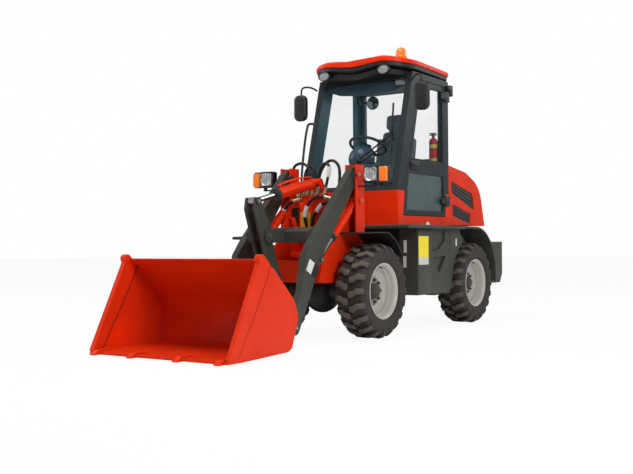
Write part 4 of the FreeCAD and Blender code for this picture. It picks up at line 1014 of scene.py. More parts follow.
def tread_bar(bm, centre, half_width):
    """One wavy tread bar on the tyre's left half, above its centre; gives its vertices."""
    start = len(bm.verts)
    tread_height, flank_height, shoulder = 0.36, 0.33, 0.088
    made = block(bm, centre + Vector((-half_width, 0.003, 0.338)),
                 centre + Vector((half_width, 0.133, 0.386)), finish_index=1)
    crosswise = {e for v in made for e in v.link_edges
                 if abs(e.verts[0].co.y - e.verts[1].co.y) > 0.01}
    bmesh.ops.subdivide_edges(bm, edges=list(crosswise), cuts=7, use_grid_fill=True)
    bar = since(bm, start)
    for v in bar:
        y = v.co.y - centre.y
        top = v.co.z - centre.z > tread_height
        bend = min(1.0, max(0.0, (y - 0.040) / 0.035))
        wave = 0.013 - 0.026 * bend * bend * (3 - 2 * bend)
        swell = 0.92 + 0.16 * math.sin(math.pi * min(1.0, y / 0.09))
        v.co.x = centre.x + (v.co.x - centre.x) * swell * (0.84 if top else 1.06) + wave
        if top:
            drop = max(0.0, y - shoulder)
            v.co.z -= 0.4 * drop + 9.0 * drop * drop
            v.co.z -= 0.0016
        else:
            v.co.z -= 1.1 * max(0.0, y - 0.105)
    bm.normal_update()
    rims = [e for e in {e for v in bar for e in v.link_edges}
            if len(e.link_faces) == 2 and e.calc_face_angle(0) > math.radians(48)
            and min(v.co.z for v in e.verts) - centre.z > flank_height]
    bevel_edges(bm, rims, 0.004, 1)
    bar = since(bm, start)
    for face in {f for v in bar for f in v.link_faces}:
        worn = face.normal.z > 0.5 and face.calc_center_median().z - centre.z > 0.35
        face.material_index = 1 if worn else 2
    return bar


class LOADER_OT_tyres(LoaderOperator):
    """Four moulded tyres with two staggered rows of wavy tread bars"""
    bl_idname = "loader.tyres"
    bl_label = "Tyres"

    def execute(self, context):
        half_width = context.scene.loader_sizes.lug_width / 2
        bars_in_a_row = 20
        # The left half of the section, from the bead to the crown, as distance and radius.
        wall = [(0.098, 0.214), (0.106, 0.231), (0.113, 0.236), (0.116, 0.246), (0.121, 0.258),
                (0.126, 0.262), (0.125, 0.268), (0.129, 0.286), (0.1315, 0.300), (0.1315, 0.318),
                (0.128, 0.336), (0.119, 0.349), (0.100, 0.3555), (0.050, 0.3585), (0.0, 0.3595)]
        section = wall + [(-y, r) for y, r in reversed(wall[:-1])] + [wall[0]]
        for node in nodes_ending("_tyre"):
            low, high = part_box(node)
            centre = (low + high) / 2
            centre.z = AXLE_HEIGHT
            bm = bmesh.new()
            spun(bm, section, centre, ACROSS, 80)
            start = len(bm.verts)
            arrayed(bm, tread_bar(bm, centre, half_width), centre, ACROSS, bars_in_a_row)
            copy = bmesh.ops.duplicate(bm, geom=whole(since(bm, start)))["geom"]
            moved = [v for v in copy if isinstance(v, bmesh.types.BMVert)]
            for v in moved:
                v.co.y = 2 * centre.y - v.co.y
            half_step = Matrix.Rotation(math.pi / bars_in_a_row, 3, ACROSS)
            bmesh.ops.rotate(bm, verts=moved, cent=centre, matrix=half_step)
            piece(node + "_moulded", bm,
                  ["moulded_tyre_rubber", "dusty_tread_rubber", "moulded_tyre_rubber"],
                  body_of(node), replaces=(node,), smooth=50)
        return {"FINISHED"}


def nut_ring(bm, centre, out, reach, radius, across, tall, count):
    """A ring of nuts on the wheel's disc or hub."""
    start = len(bm.verts)
    nut(bm, centre + out * reach + UP * radius, out, across, tall, 1)
    arrayed(bm, since(bm, start), centre, out, count)


class LOADER_OT_rims(LoaderOperator):
    """Four deep rims with their hubs and rings of wheel nuts"""
    bl_idname = "loader.rims"
    bl_label = "Rims"

    def execute(self, context):
        sizes = context.scene.loader_sizes
        rim_edge = 0.118
        disc = rim_edge - sizes.rim_drop
        # Sections as distance along the axle and radius.
        outer = [(0.110, 0.2285), (0.116, 0.2295), (0.119, 0.227), (0.118, 0.222), (0.112, 0.217),
                 (0.105, 0.2085), (0.096, 0.203), (0.075, 0.2005), (0.062, 0.197), (0.058, 0.190),
                 (disc + 0.022, 0.187), (disc + 0.008, 0.180), (disc, 0.168), (disc, 0.120)]
        seat = [(disc, 0.120), (disc + 0.006, 0.112), (disc + 0.010, 0.104), (disc + 0.010, 0.064)]
        inner = [(disc + 0.004, 0.066), (disc - 0.004, 0.104), (disc - 0.010, 0.168),
                 (disc - 0.004, 0.192), (-0.100, 0.200), (-0.108, 0.213), (-0.118, 0.2285),
                 (-0.110, 0.2295), (-0.098, 0.213), (0.098, 0.213), (0.110, 0.2285)]
        hub = [(disc - 0.045, 0.050), (disc + 0.006, 0.064), (disc + 0.020, 0.062),
               (disc + 0.024, 0.056), (disc + 0.040, 0.050), (disc + 0.046, 0.044),
               (disc + 0.052, 0.030), (disc + 0.053, 0.0)]
        for node in nodes_ending("_rim"):
            low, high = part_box(node)
            centre = (low + high) / 2
            out = Vector((0, 1 if centre.y > 0 else -1, 0))
            bm = bmesh.new()
            spun(bm, outer, centre, out, 72)
            # Painted shade: the ring of the disc round the hub takes the darker grey.
            spun(bm, seat, centre, out, 72, 2)
            spun(bm, inner, centre, out, 72)
            spun(bm, hub, centre, out, 40, 1)
            nut_ring(bm, centre, out, disc + 0.009, sizes.nut_circle, 0.020, 0.018, 8)
            nut_ring(bm, centre, out, disc + 0.046, 0.034, 0.010, 0.006, 6)
            rod(bm, centre + out * 0.070 + UP * 0.196, centre + out * 0.104 + UP * 0.188, 0.005, 12,
                finish_index=1)
            piece(node + "_pressed", bm, ["rim_enamel", "hub_cast_iron", "rim_centre_painted_shade"],
                  body_of(node), replaces=(node,), smooth=32)
        return {"FINISHED"}


class LOADER_OT_cab(LoaderOperator):
    """Cab shell in two colours"""
    bl_idname = "loader.cab"
    bl_label = "Cab shell"

    def execute(self, context):
        rounding = context.scene.loader_sizes.edge_rounding
        bm = solid_copy("cab_shell")
        door_foot = 1.022
        for height in (CAB_SILL_Z, door_foot):
            bmesh.ops.bisect_plane(bm, geom=list(bm.verts) + list(bm.edges) + list(bm.faces),
                                   dist=1e-6, plane_co=(0, 0, height), plane_no=UP)
        for face in bm.faces:
            at = face.calc_center_median()
            inside = abs(at.y) < 0.452 and -1.08 < at.x < -0.16
            doorway = at.y > 0.40 and -1.06 < at.x < -0.19 and at.z > door_foot
            inward = face.normal.x * (at.x + 0.6) + face.normal.y * at.y < -0.02
            red = at.z < CAB_SILL_Z and not inside and not doorway
            # Inward faces take the painted blue grey glass tint; red below the sill and dark above is
            # the two-tone paint.
            face.material_index = 0 if red else 2 if inward else 1
        dress("cab_shell", ["red_enamel", "cab_frame_powder_coat", "cab_frame_painted_glass_tint"], rounding,
              bm)
        return {"FINISHED"}


class LOADER_OT_hood(LoaderOperator):
    """Engine hood with meshed grilles"""
    bl_idname = "loader.hood"
    bl_label = "Hood"

    def execute(self, context):
        bm = solid_copy("hood")
        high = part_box("hood")[1]
        grilles = [[(-1.200, 1.365), (-1.215, 1.248), (-1.725, 1.095), (-1.690, 1.262)],
                   [(-1.225, 1.150), (-1.235, 1.030), (-1.620, 0.962), (-1.640, 1.060)]]
        for side in SIDES:
            for corners in grilles:
                sunk_panel(bm, corners, side, high.y - 0.002, 0.009, 0.030, 1)
        dress("hood", ["red_enamel", "punched_mesh"], context.scene.loader_sizes.edge_rounding, bm)

        bm = bmesh.new()
        for side in SIDES:
            bar_y = (high.y - 0.006) * side
            for (front, front_top), (_, front_foot), (rear, rear_foot), (_, rear_top) in grilles:
                for share in (0.26, 0.5, 0.74):
                    rod(bm, (front - 0.012, bar_y, front_foot + (front_top - front_foot) * share),
                        (rear + 0.012, bar_y, rear_foot + (rear_top - rear_foot) * share),
                        0.0055, 8)
        piece("hood_grille_bars", bm, ["moulded_black_plastic"], "hood")

        bm = bmesh.new()
        block(bm, (high.x - 0.085, 0.20, high.z - 0.055), (high.x - 0.030, 0.26, high.z + 0.006),
              0.008)
        piece("hood_latch", bm, ["moulded_black_plastic"], "hood")
        return {"FINISHED"}


class LOADER_OT_roof(LoaderOperator):
    """Crowned roof shell over a thick dark underside"""
    bl_idname = "loader.roof"
    bl_label = "Roof"

    def execute(self, context):
        low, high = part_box("cab_roof")
        front, rear = high.x, low.x
        half = high.y
        plan = [(front, 0.0), (front, 0.12), (front - 0.002, 0.22), (front - 0.010, 0.31),
                (front - 0.045, 0.385), (front - 0.110, 0.450), (front - 0.190, 0.495),
                (front - 0.30, half), (front - 0.60, half), (rear + 0.05, half - 0.004),
                (rear + 0.012, half - 0.03), (rear, half - 0.10)]
        outline = plan + [(x, -y) for x, y in reversed(plan[1:])]
        base = high.z - 0.040

        def brow(x, y):
            """The front lip lifts over each lamp and dips between them; the rear falls a little."""
            lip, lamp_y, length = 0.25, 0.31, 0.96
            ahead = max(0.0, 1 - (front - x) / lip)
            return (0.016 * ahead * math.cos((abs(y) - lamp_y) / lamp_y * math.pi)
                    - 0.020 * min(1.0, (front - x) / length))

        bm = bmesh.new()
        face = bm.faces.new([bm.verts.new((x, y, base + brow(x, y))) for x, y in outline])
        top = risen(bm, face, 0.030)
        for shrink, lift in ((0.985, 0.009), (0.93, 0.014), (0.78, 0.012), (0.50, 0.008)):
            top = shrunk(bm, top, shrink, lift)
        ceiling = high.z + 0.036
        for v in bm.verts:
            v.co.z = min(v.co.z, ceiling)
        piece("cab_roof_shell", bm, ["red_enamel"], "rear_frame", 0.006, 3,
              replaces=("cab_roof",), smooth=60)

        bm = bmesh.new()
        face = bm.faces.new([bm.verts.new((x * 0.985 - 0.012, y * 0.975, base - 0.034 + brow(x, y)))
                             for x, y in outline])
        risen(bm, face, 0.040)
        floor = min(bm.faces, key=lambda f: (len(f.verts) < 8, f.calc_center_median().z))
        under = shrunk(bm, floor, 0.90, -0.022)
        under = shrunk(bm, under, 0.97, -0.046)
        piece("cab_roof_underside", bm, ["moulded_black_plastic"], "rear_frame",
              0.008, 3)

        bm = bmesh.new()
        sweep = [(-0.43, 2.262), (-0.40, 2.19), (-0.28, 2.150), (0.0, 2.128), (0.28, 2.150),
                 (0.40, 2.19), (0.43, 2.262)]
        points = [(-0.440 + 0.25 * (2.262 - z), y, z) for y, z in sweep]
        slab(bm, points, (-0.022, 0, -0.004))
        piece("sun_visor", bm, ["moulded_headliner"], "rear_frame", 0.003)
        return {"FINISHED"}


class LOADER_OT_lamps(LoaderOperator):
    """Headlamps with turn lamps, work lamps, rear lamps and the beacon"""
    bl_idname = "loader.lamps"
    bl_label = "Lamps"

    def execute(self, context):
        low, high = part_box("headlamps")
        x, foot, top = high.x, low.z + 0.030, high.z
        inner, split, outer = 0.455, 0.594, 0.674
        bowl = [(0.000, 0.014), (0.004, 0.034), (0.012, 0.050), (0.016, 0.055)]
        bm = bmesh.new()
        for side in SIDES:
            ys = pair(side, inner, outer)
            case(bm, (x - 0.080, ys[0], foot), (x - 0.022, ys[1], top), 0.016, 0.012)
            ys = pair(side, inner, split)
            case(bm, (x - 0.060, ys[0], foot - 0.002), (x - 0.008, ys[1], top), 0.016, 0.006)
            bulb = Vector((x - 0.012, (inner + split) / 2 * side, (foot + top) / 2))
            spun(bm, bowl, bulb, AHEAD, 32, 1)
            rod(bm, bulb, bulb + Vector((0.013, 0, 0)), 0.011, 20, finish_index=1)
            ys = pair(side, inner + 0.016, split - 0.015)
            case(bm, (x - 0.011, ys[0], foot + 0.016), (x - 0.0055, ys[1], top - 0.016),
                 0.012, 0.002, 1)
            case(bm, (x - 0.0045, ys[0], foot + 0.015), (x, ys[1], top - 0.015), 0.012, 0.002, 2)
            ys = pair(side, split + 0.004, outer - 0.003)
            case(bm, (x - 0.045, ys[0], foot + 0.007), (x - 0.004, ys[1], top - 0.013),
                 0.010, 0.010, 3)
            post = 0.560 * side
            rod(bm, (x - 0.045, post, low.z), (x - 0.045, post, foot + 0.01), 0.016)
            ys = pair(side, 0.39, 0.575)
            block(bm, (x - 0.062, ys[0], low.z), (x - 0.030, ys[1], low.z + 0.012), 0.003)
        piece("headlamp_units", bm, ["moulded_black_plastic", "lamp_reflector", "clear_lamp_glass",
                                     "amber_polycarbonate_painted_glow"], "front_frame",
              replaces=("headlamps",))

        low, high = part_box("work_lamps")
        shell = [(0.0, 0.030), (0.014, 0.046), (0.040, 0.050), (0.055, 0.047), (0.056, 0.042),
                 (0.050, 0.040)]
        glass = [(0.050, 0.040), (0.053, 0.02), (0.054, 0.0)]
        bm = bmesh.new()
        for side in SIDES:
            back = Vector((low.x, 0.309 * side, (low.z + high.z) / 2))
            faces = spun(bm, shell, back, AHEAD, 32) + spun(bm, glass, back, AHEAD, 32, 1)
            bmesh.ops.scale(bm, verts=list({v for f in faces for v in f.verts}),
                            vec=(1.0, 1.3, 0.9), space=Matrix.Translation(-back))
        piece("roof_work_lamps", bm, ["moulded_black_plastic", "lamp_reflector"], "rear_frame",
              replaces=("work_lamps",))

        low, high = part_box("rear_lamps")
        bm = bmesh.new()
        for side in SIDES:
            ys = pair(side, 0.330, 0.450)
            block(bm, (low.x + 0.006, ys[0], low.z), (high.x + 0.002, ys[1], high.z), 0.005)
            for index, ys in enumerate((pair(side, 0.334, 0.395), pair(side, 0.397, 0.446)), 1):
                block(bm, (low.x, ys[0], low.z + 0.004), (low.x + 0.012, ys[1], high.z - 0.004),
                      0.003, 2, index)
        piece("tail_lamps", bm, ["moulded_black_plastic", "red_reflector", "amber_polycarbonate_painted_glow"],
              "rear_frame", replaces=("rear_lamps",))

        low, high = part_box("beacon")
        centre = Vector(((low.x + high.x) / 2, (low.y + high.y) / 2, low.z + 0.028))
        bm = bmesh.new()
        base = [(-0.02, 0.0), (-0.02, 0.056), (0.010, 0.061), (0.020, 0.058), (0.028, 0.050)]
        spun(bm, base, centre, UP, 40)
        dome = [(0.028, 0.050), (0.034, 0.053), (0.040, 0.049), (0.068, 0.049), (0.092, 0.044),
                (0.108, 0.034), (0.118, 0.018), (0.120, 0.0)]
        spun(bm, dome, centre, UP, 40, 1)
        piece("warning_beacon", bm, ["amber_polycarbonate_painted_glow", "amber_polycarbonate_painted_glow"], "rear_frame",
              replaces=("beacon",), smooth=50)
        return {"FINISHED"}


class LOADER_OT_cab_fittings(LoaderOperator):
    """Mirrors, grab rail, wiper and door handle"""
    bl_idname = "loader.cab_fittings"
    bl_label = "Cab fittings"

    def execute(self, context):
        bm = bmesh.new()
        x = -0.292
        for side in SIDES:
            ys = pair(side, 0.568, 0.704)
            case(bm, (x - 0.026, ys[0], 1.925), (x + 0.034, ys[1], 2.170), 0.052, 0.022)
            case(bm, (x - 0.031, ys[0] + 0.012, 1.94), (x - 0.024, ys[1] - 0.012, 2.155),
                 0.045, 0.002, 1)
            rod(bm, (x, 0.600 * side, 2.12), (x, 0.636 * side, 2.165), 0.012)
        piece("door_mirrors", bm, ["moulded_black_plastic", "mirror_silver"], "rear_frame",
              replaces=("mirrors",))
        arms = [[(-0.36, 0.497 * s, 2.205), (-0.34, 0.53 * s, 2.235), (-0.300, 0.585 * s, 2.245),
                 (-0.290, 0.625 * s, 2.235), (-0.292, 0.634 * s, 2.19), (-0.292, 0.636 * s, 2.13)]
                for s in SIDES]
        tube("mirror_arms", arms, 0.0085, ["moulded_black_plastic"], "rear_frame")

        rail = [[(-0.150, -0.490, 1.105), (-0.140, -0.54, 1.100), (-0.143, -0.552, 1.14),
                 (-0.175, -0.552, 1.45), (-0.225, -0.552, 1.72), (-0.262, -0.549, 1.86),
                 (-0.275, -0.54, 1.893), (-0.290, -0.51, 1.893), (-0.310, -0.470, 1.885)]]
        grab = tube("grab_rail_bent", rail, 0.011, ["cab_frame_powder_coat"], "rear_frame")
        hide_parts("grab_rail")

        # The arms and the blade stand off the sloping glass by this much.
        off = Vector((0.026, 0, 0.008))
        pivot = Vector((-0.186, 0.067, 1.503)) + off
        ends = [Vector((-0.253, 0.386, 1.740)) + off, Vector((-0.237, 0.414, 1.684)) + off]
        foot = Vector((-0.180, 0.03, 1.45)) + off
        bm = bmesh.new()
        rod(bm, foot - off * 0.6, pivot, 0.016, 16)
        ball(bm, pivot, 0.022)
        block(bm, foot + Vector((-0.03, -0.05, -0.05)), foot + Vector((0.004, 0.05, 0.03)), 0.01)
        for index, end in enumerate(ends):
            begin = pivot + Vector((0, 0.02 * index, -0.018 * index))
            rod(bm, begin, end, 0.0075, 10)
        top = Vector((-0.328, 0.342, 2.007)) + off * 0.75
        bottom = Vector((-0.167, 0.391, 1.436)) + off * 0.75
        rod(bm, bottom, top, 0.009, 8)
        middle, reach = (top + bottom) / 2, (top - bottom) * 0.28
        rod(bm, middle + reach + off * 0.3, middle - reach + off * 0.3, 0.008, 8)
        block(bm, middle - Vector((0.012, 0.014, 0.05)), middle + Vector((0.02, 0.014, 0.05)),
              0.006)
        piece("windscreen_wiper", bm, ["moulded_black_plastic"], "rear_frame")

        bm = bmesh.new()
        y = CAB_FACE_Y
        block(bm, (-0.505, y, 1.425), (-0.335, y + 0.010, 1.505), 0.006)
        block(bm, (-0.475, y + 0.004, 1.452), (-0.360, y + 0.026, 1.478), 0.008, 3)
        rod(bm, (-0.352, y + 0.004, 1.465), (-0.352, y + 0.020, 1.465), 0.013)
        piece("door_latch", bm, ["moulded_black_plastic"], "door")
        bm = bmesh.new()
        block(bm, (-1.152, 0.452, 2.160), (-1.090, 0.522, 2.262), 0.008)
        block(bm, (-1.120, 0.480, 2.205), (-1.040, 0.528, 2.245), 0.006)
        for z in (2.180, 2.240):
            nut(bm, (-1.121, 0.520, z), ACROSS, 0.010, 0.005)
        piece("cab_rear_bracket", bm, ["moulded_black_plastic"], "rear_frame")
        bm = bmesh.new()
        for z in (1.165, 2.145):
            block(bm, (-1.080, y + 0.002, z - 0.040), (-0.985, y + 0.0285, z + 0.040), 0.006)
            for step in (-0.02, 0.02):
                nut(bm, (-1.000, y + 0.027, z + step), ACROSS, 0.008, 0.004)
        piece("door_hinge_covers", bm, ["moulded_black_plastic"], "door")
        return {"FINISHED"}


class LOADER_OT_cab_inside(LoaderOperator):
    """Seat, instrument dome, inner mirror and extinguisher"""
    bl_idname = "loader.cab_inside"
    bl_label = "Cab inside"

    def execute(self, context):
        low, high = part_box("dash_console")
        dome_x = -0.330
        bm = bmesh.new()
        ball(bm, (dome_x, 0.0, 1.535), 0.122, (0.95, 1.0, 1.0))
        collar = [(1.475, 0.128), (1.482, 0.140), (1.470, 0.150), (1.400, 0.152)]
        spun(bm, collar, (dome_x, 0, 0), UP, 40)
        block(bm, (low.x + 0.02, -0.14, low.z), (high.x - 0.01, 0.14, 1.425), 0.03, 3)
        rod(bm, (-0.40, 0, 1.50), (-0.434, 0, 1.60), 0.040)
        piece("instrument_console", bm, ["console_abs"], "rear_frame",
              replaces=("dash_console",), smooth=50)

        low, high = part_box("extinguisher")
        centre = Vector((-1.000, high.y - 0.040, low.z))
        bm = bmesh.new()
        foot = [(0.0, 0.0), (0.0, 0.034), (0.006, 0.039), (0.03, 0.040)]
        spun(bm, foot, centre, UP, 36)
        bands = ((0.03, 0.055, 1), (0.055, 0.150, 0), (0.150, 0.185, 1), (0.185, 0.212, 0))
        for start, end, index in bands:
            spun(bm, [(start, 0.040), (end, 0.040)], centre, UP, 36, index)
        shoulder = [(0.212, 0.040), (0.228, 0.037), (0.240, 0.028), (0.246, 0.014), (0.252, 0.013),
                    (0.256, 0.0)]
        spun(bm, shoulder, centre, UP, 36)
        rod(bm, centre + UP * 0.25, centre + UP * 0.285, 0.013, 16, finish_index=2)
        for near, far in (((-0.012, -0.035, 0.272), (0.012, 0.035, 0.283)),
                          ((-0.010, -0.038, 0.288), (0.010, 0.030, 0.297))):
            block(bm, centre + Vector(near), centre + Vector(far), 0.003, 2, 2)
        piece("fire_extinguisher", bm,
              ["extinguisher_enamel", "extinguisher_band", "moulded_black_plastic"], "rear_frame",
              replaces=("extinguisher",))

        bm = bmesh.new()
        low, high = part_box("seat_cushions")
        block(bm, (low.x + 0.10, -0.20, low.z + 0.006), (high.x - 0.01, 0.20, low.z + 0.105),
              0.030, 3)
        lean = (Matrix.Translation((-0.905, 0.02, low.z + 0.09))
                @ Matrix.Rotation(math.radians(-9), 4, "Y"))
        start = len(bm.verts)
        block(bm, (-0.055, -0.165, 0.0), (0.045, 0.165, 0.50), 0.040, 3)
        block(bm, (-0.045, -0.205, 0.03), (0.075, -0.145, 0.42), 0.028, 3)
        block(bm, (-0.045, 0.145, 0.03), (0.075, 0.205, 0.42), 0.028, 3)
        block(bm, (-0.040, -0.125, 0.515), (0.050, 0.125, 0.665), 0.034, 3)
        block(bm, (-0.030, -0.070, 0.470), (0.030, 0.070, 0.550), 0.020, 2)
        bmesh.ops.transform(bm, matrix=lean, verts=since(bm, start))
        for side in SIDES:
            ys = pair(side, 0.150, 0.225)
            block(bm, (low.x + 0.13, ys[0], low.z + 0.03), (high.x - 0.03, ys[1], low.z + 0.125),
                  0.028, 3)
        seat = piece("seat_upholstery", bm, ["seat_vinyl"], "rear_frame",
                     replaces=("seat_cushions",))
        stuff(seat, cap=0.012)

        bm = bmesh.new()
        frame_x, glass_x = -0.415, -0.413
        slab(bm, [(frame_x, 0.293, 2.262), (frame_x, 0.437, 2.262), (frame_x, 0.422, 2.176),
                  (frame_x, 0.300, 2.180)], (-0.018, 0, 0))
        slab(bm, [(glass_x, 0.302, 2.252), (glass_x, 0.428, 2.252), (glass_x, 0.415, 2.184),
                  (glass_x, 0.308, 2.188)], (-0.001, 0, 0), 1)
        rod(bm, (-1.02, -0.44, 2.165), (-1.01, -0.33, 2.160), 0.010)
        round_mirror = (-1.00, -0.265, 2.150)
        back = [(-0.012, 0.0), (-0.012, 0.050), (0.0, 0.064), (0.012, 0.066), (0.016, 0.060)]
        spun(bm, back, round_mirror, AHEAD, 32)
        spun(bm, [(0.013, 0.061), (0.018, 0.030), (0.019, 0.0)], round_mirror, AHEAD, 32, 1)
        block(bm, (-1.03, -0.425, 2.14), (-0.99, -0.375, 2.205), 0.008)
        piece("inner_mirror", bm, ["moulded_black_plastic", "mirror_silver"], "rear_frame")
        return {"FINISHED"}


def stuff(obj, cap):
    """Fills a cushion: its skin swells by the cap at most, and its edges turn round."""
    skin = obj.modifiers.new("Skin", "REMESH")
    skin.mode, skin.voxel_size = "VOXEL", 0.009
    relax = obj.modifiers.new("Relax", "SMOOTH")
    relax.factor, relax.iterations = 0.5, 8
    baked(obj)
    at_rest = [v.co.copy() for v in obj.data.vertices]
    cloth = obj.modifiers.new("Fill", "CLOTH")
    cloth.settings.use_pressure = True
    cloth.settings.uniform_pressure_force = 4.0
    cloth.settings.quality = 4
    cloth.settings.effector_weights.gravity = 0.0
    for number in range(1, 21):
        bpy.context.scene.frame_set(number)
    baked(obj)
    for v, start in zip(obj.data.vertices, at_rest):
        shift = v.co - start
        if shift.length > cap:
            v.co = start + shift.normalized() * cap
    bpy.context.scene.frame_set(1)
    obj.data.shade_smooth()


def baked(obj):
    """Applies an object's live modifiers to its mesh."""
    graph = bpy.context.evaluated_depsgraph_get()
    mesh = bpy.data.meshes.new_from_object(obj.evaluated_get(graph))
    obj.modifiers.clear()
    obj.data = mesh


class LOADER_OT_front_details(LoaderOperator):
    """Hoses, fittings, pins and blank plates of the front frame and boom"""
    bl_idname = "loader.front_details"
    bl_label = "Front details"

    def execute(self, context):
        thick = context.scene.loader_sizes.hose_thickness / 2
        loops = [
            [(0.34, -0.250, 1.19), (0.33, -0.300, 1.32), (0.33, -0.300, 1.445), (0.33, -0.198, 1.475),
             (0.33, -0.120, 1.416), (0.33, -0.100, 1.33), (0.35, -0.135, 1.21)],
            [(0.31, -0.199, 1.20), (0.30, -0.205, 1.37), (0.30, -0.141, 1.450), (0.30, -0.085, 1.40),
             (0.30, -0.080, 1.32), (0.32, -0.110, 1.20)],
            [(0.34, -0.045, 1.20), (0.33, -0.030, 1.37), (0.33, 0.060, 1.480), (0.33, 0.150, 1.465),
             (0.33, 0.190, 1.37), (0.34, 0.170, 1.20)],
            [(0.36, -0.038, 1.20), (0.36, -0.035, 1.36), (0.36, 0.039, 1.460), (0.36, 0.100, 1.434),
             (0.36, 0.085, 1.34), (0.37, 0.050, 1.20)],
        ]
        tube("tower_hoses", loops, thick, ["hose_rubber"], "front_frame")
        drops = [
            [(0.41, 0.135, 1.150), (0.44, 0.060, 1.175), (0.45, -0.040, 1.145), (0.45, -0.100, 1.040),
             (0.44, -0.095, 0.940), (0.42, -0.070, 0.860)],
            [(0.41, 0.190, 1.130), (0.44, 0.090, 1.125), (0.45, 0.020, 1.045), (0.45, -0.030, 0.955),
             (0.42, -0.045, 0.880)],
            [(0.41, -0.180, 1.150), (0.44, -0.260, 1.130), (0.45, -0.320, 1.060), (0.45, -0.335, 0.980),
             (0.42, -0.300, 0.900)],
            [(0.41, 0.215, 1.050), (0.45, 0.170, 1.020), (0.46, 0.120, 0.940), (0.43, 0.100, 0.850)],
        ]
        tube("frame_hoses", drops, thick * 1.1, ["hose_rubber"], "front_frame")
        bm = bmesh.new()
        for line, start, end in ((loops[3], 0.62, 0.80), (drops[0], 0.50, 0.68),
                                 (drops[1], 0.32, 0.50), (drops[2], 0.45, 0.66)):
            wrap(bm, line, start, end, thick * 1.45)
        piece("hose_sleeves", bm, ["pale_blank_plate"], "front_frame")
        bm = bmesh.new()
        for line in loops + drops:
            for end, other in ((line[0], line[1]), (line[-1], line[-2])):
                start = Vector(end)
                run = (Vector(other) - start).normalized()
                rod(bm, start - run * 0.01, start + run * 0.055, thick * 1.35, 16)
                rod(bm, start - run * 0.03, start - run * 0.008, thick * 1.5, 6, finish_index=1)
        piece("hose_fittings", bm, ["zinc_plated_steel", "turned_brass"], "front_frame")

        bm = bmesh.new()
        for z in (0.80, 0.86):
            block(bm, (FRAME_FACE_X, 0.03, z - 0.02), (0.46, 0.10, z + 0.02), 0.004)
        block(bm, (FRAME_FACE_X, -0.12, 0.78), (0.47, 0.02, 0.90), 0.006)
        piece("valve_bank", bm, ["hub_cast_iron"], "front_frame")

        # Painted shade: thin black sheets on the frame's face stand in for the dark inside of its
        # openings.
        bm = bmesh.new()
        for ys, zs in (((-0.262, -0.190), (0.80, 1.08)), ((0.115, 0.262), (0.82, 1.10)),
                       ((-0.262, -0.075), (0.50, 0.64)), ((0.075, 0.262), (0.50, 0.64))):
            block(bm, (0.400, ys[0], zs[0]), (0.4045, ys[1], zs[1]), 0.002, 1)
        piece("frame_openings_painted_shade", bm, ["moulded_black_plastic"], "front_frame")
        bm = bmesh.new()
        for top, foot in (((-0.18, 1.13), (-0.06, 0.82)), ((-0.262, 1.00), (-0.19, 0.80)),
                          ((0.08, 1.12), (0.12, 0.80))):
            corners = (top, (top[0] + 0.035, top[1]), (foot[0] + 0.035, foot[1]), foot)
            slab(bm, [(FRAME_FACE_X, y, z) for y, z in corners], (0.030, 0, 0))
        block(bm, (FRAME_FACE_X, -0.262, 0.655), (0.440, 0.262, 0.700), 0.006)
        piece("frame_ribs", bm, ["red_enamel"], "front_frame", 0.004)
        bm = bmesh.new()
        block(bm, (FRAME_FACE_X, -0.151, 0.915), (0.4345, -0.050, 1.042), 0.001, 1)
        piece("front_blank_plate", bm, ["amber_blank_plate"], "front_frame")

        bm = bmesh.new()
        for (x, z), out in ((BOOM_PIN, 0.389), (LIFT_BASE, 0.382)):
            for side in SIDES:
                rod(bm, (x, out * side, z), (x, (out + 0.010) * side, z), 0.030, 24)
                nut(bm, (x, (out + 0.008) * side, z), (0, side, 0), 0.022, 0.012, 1)
        piece("tower_pin_caps", bm, ["red_enamel", "zinc_plated_steel"], "front_frame",
              0.001)
        return {"FINISHED"}


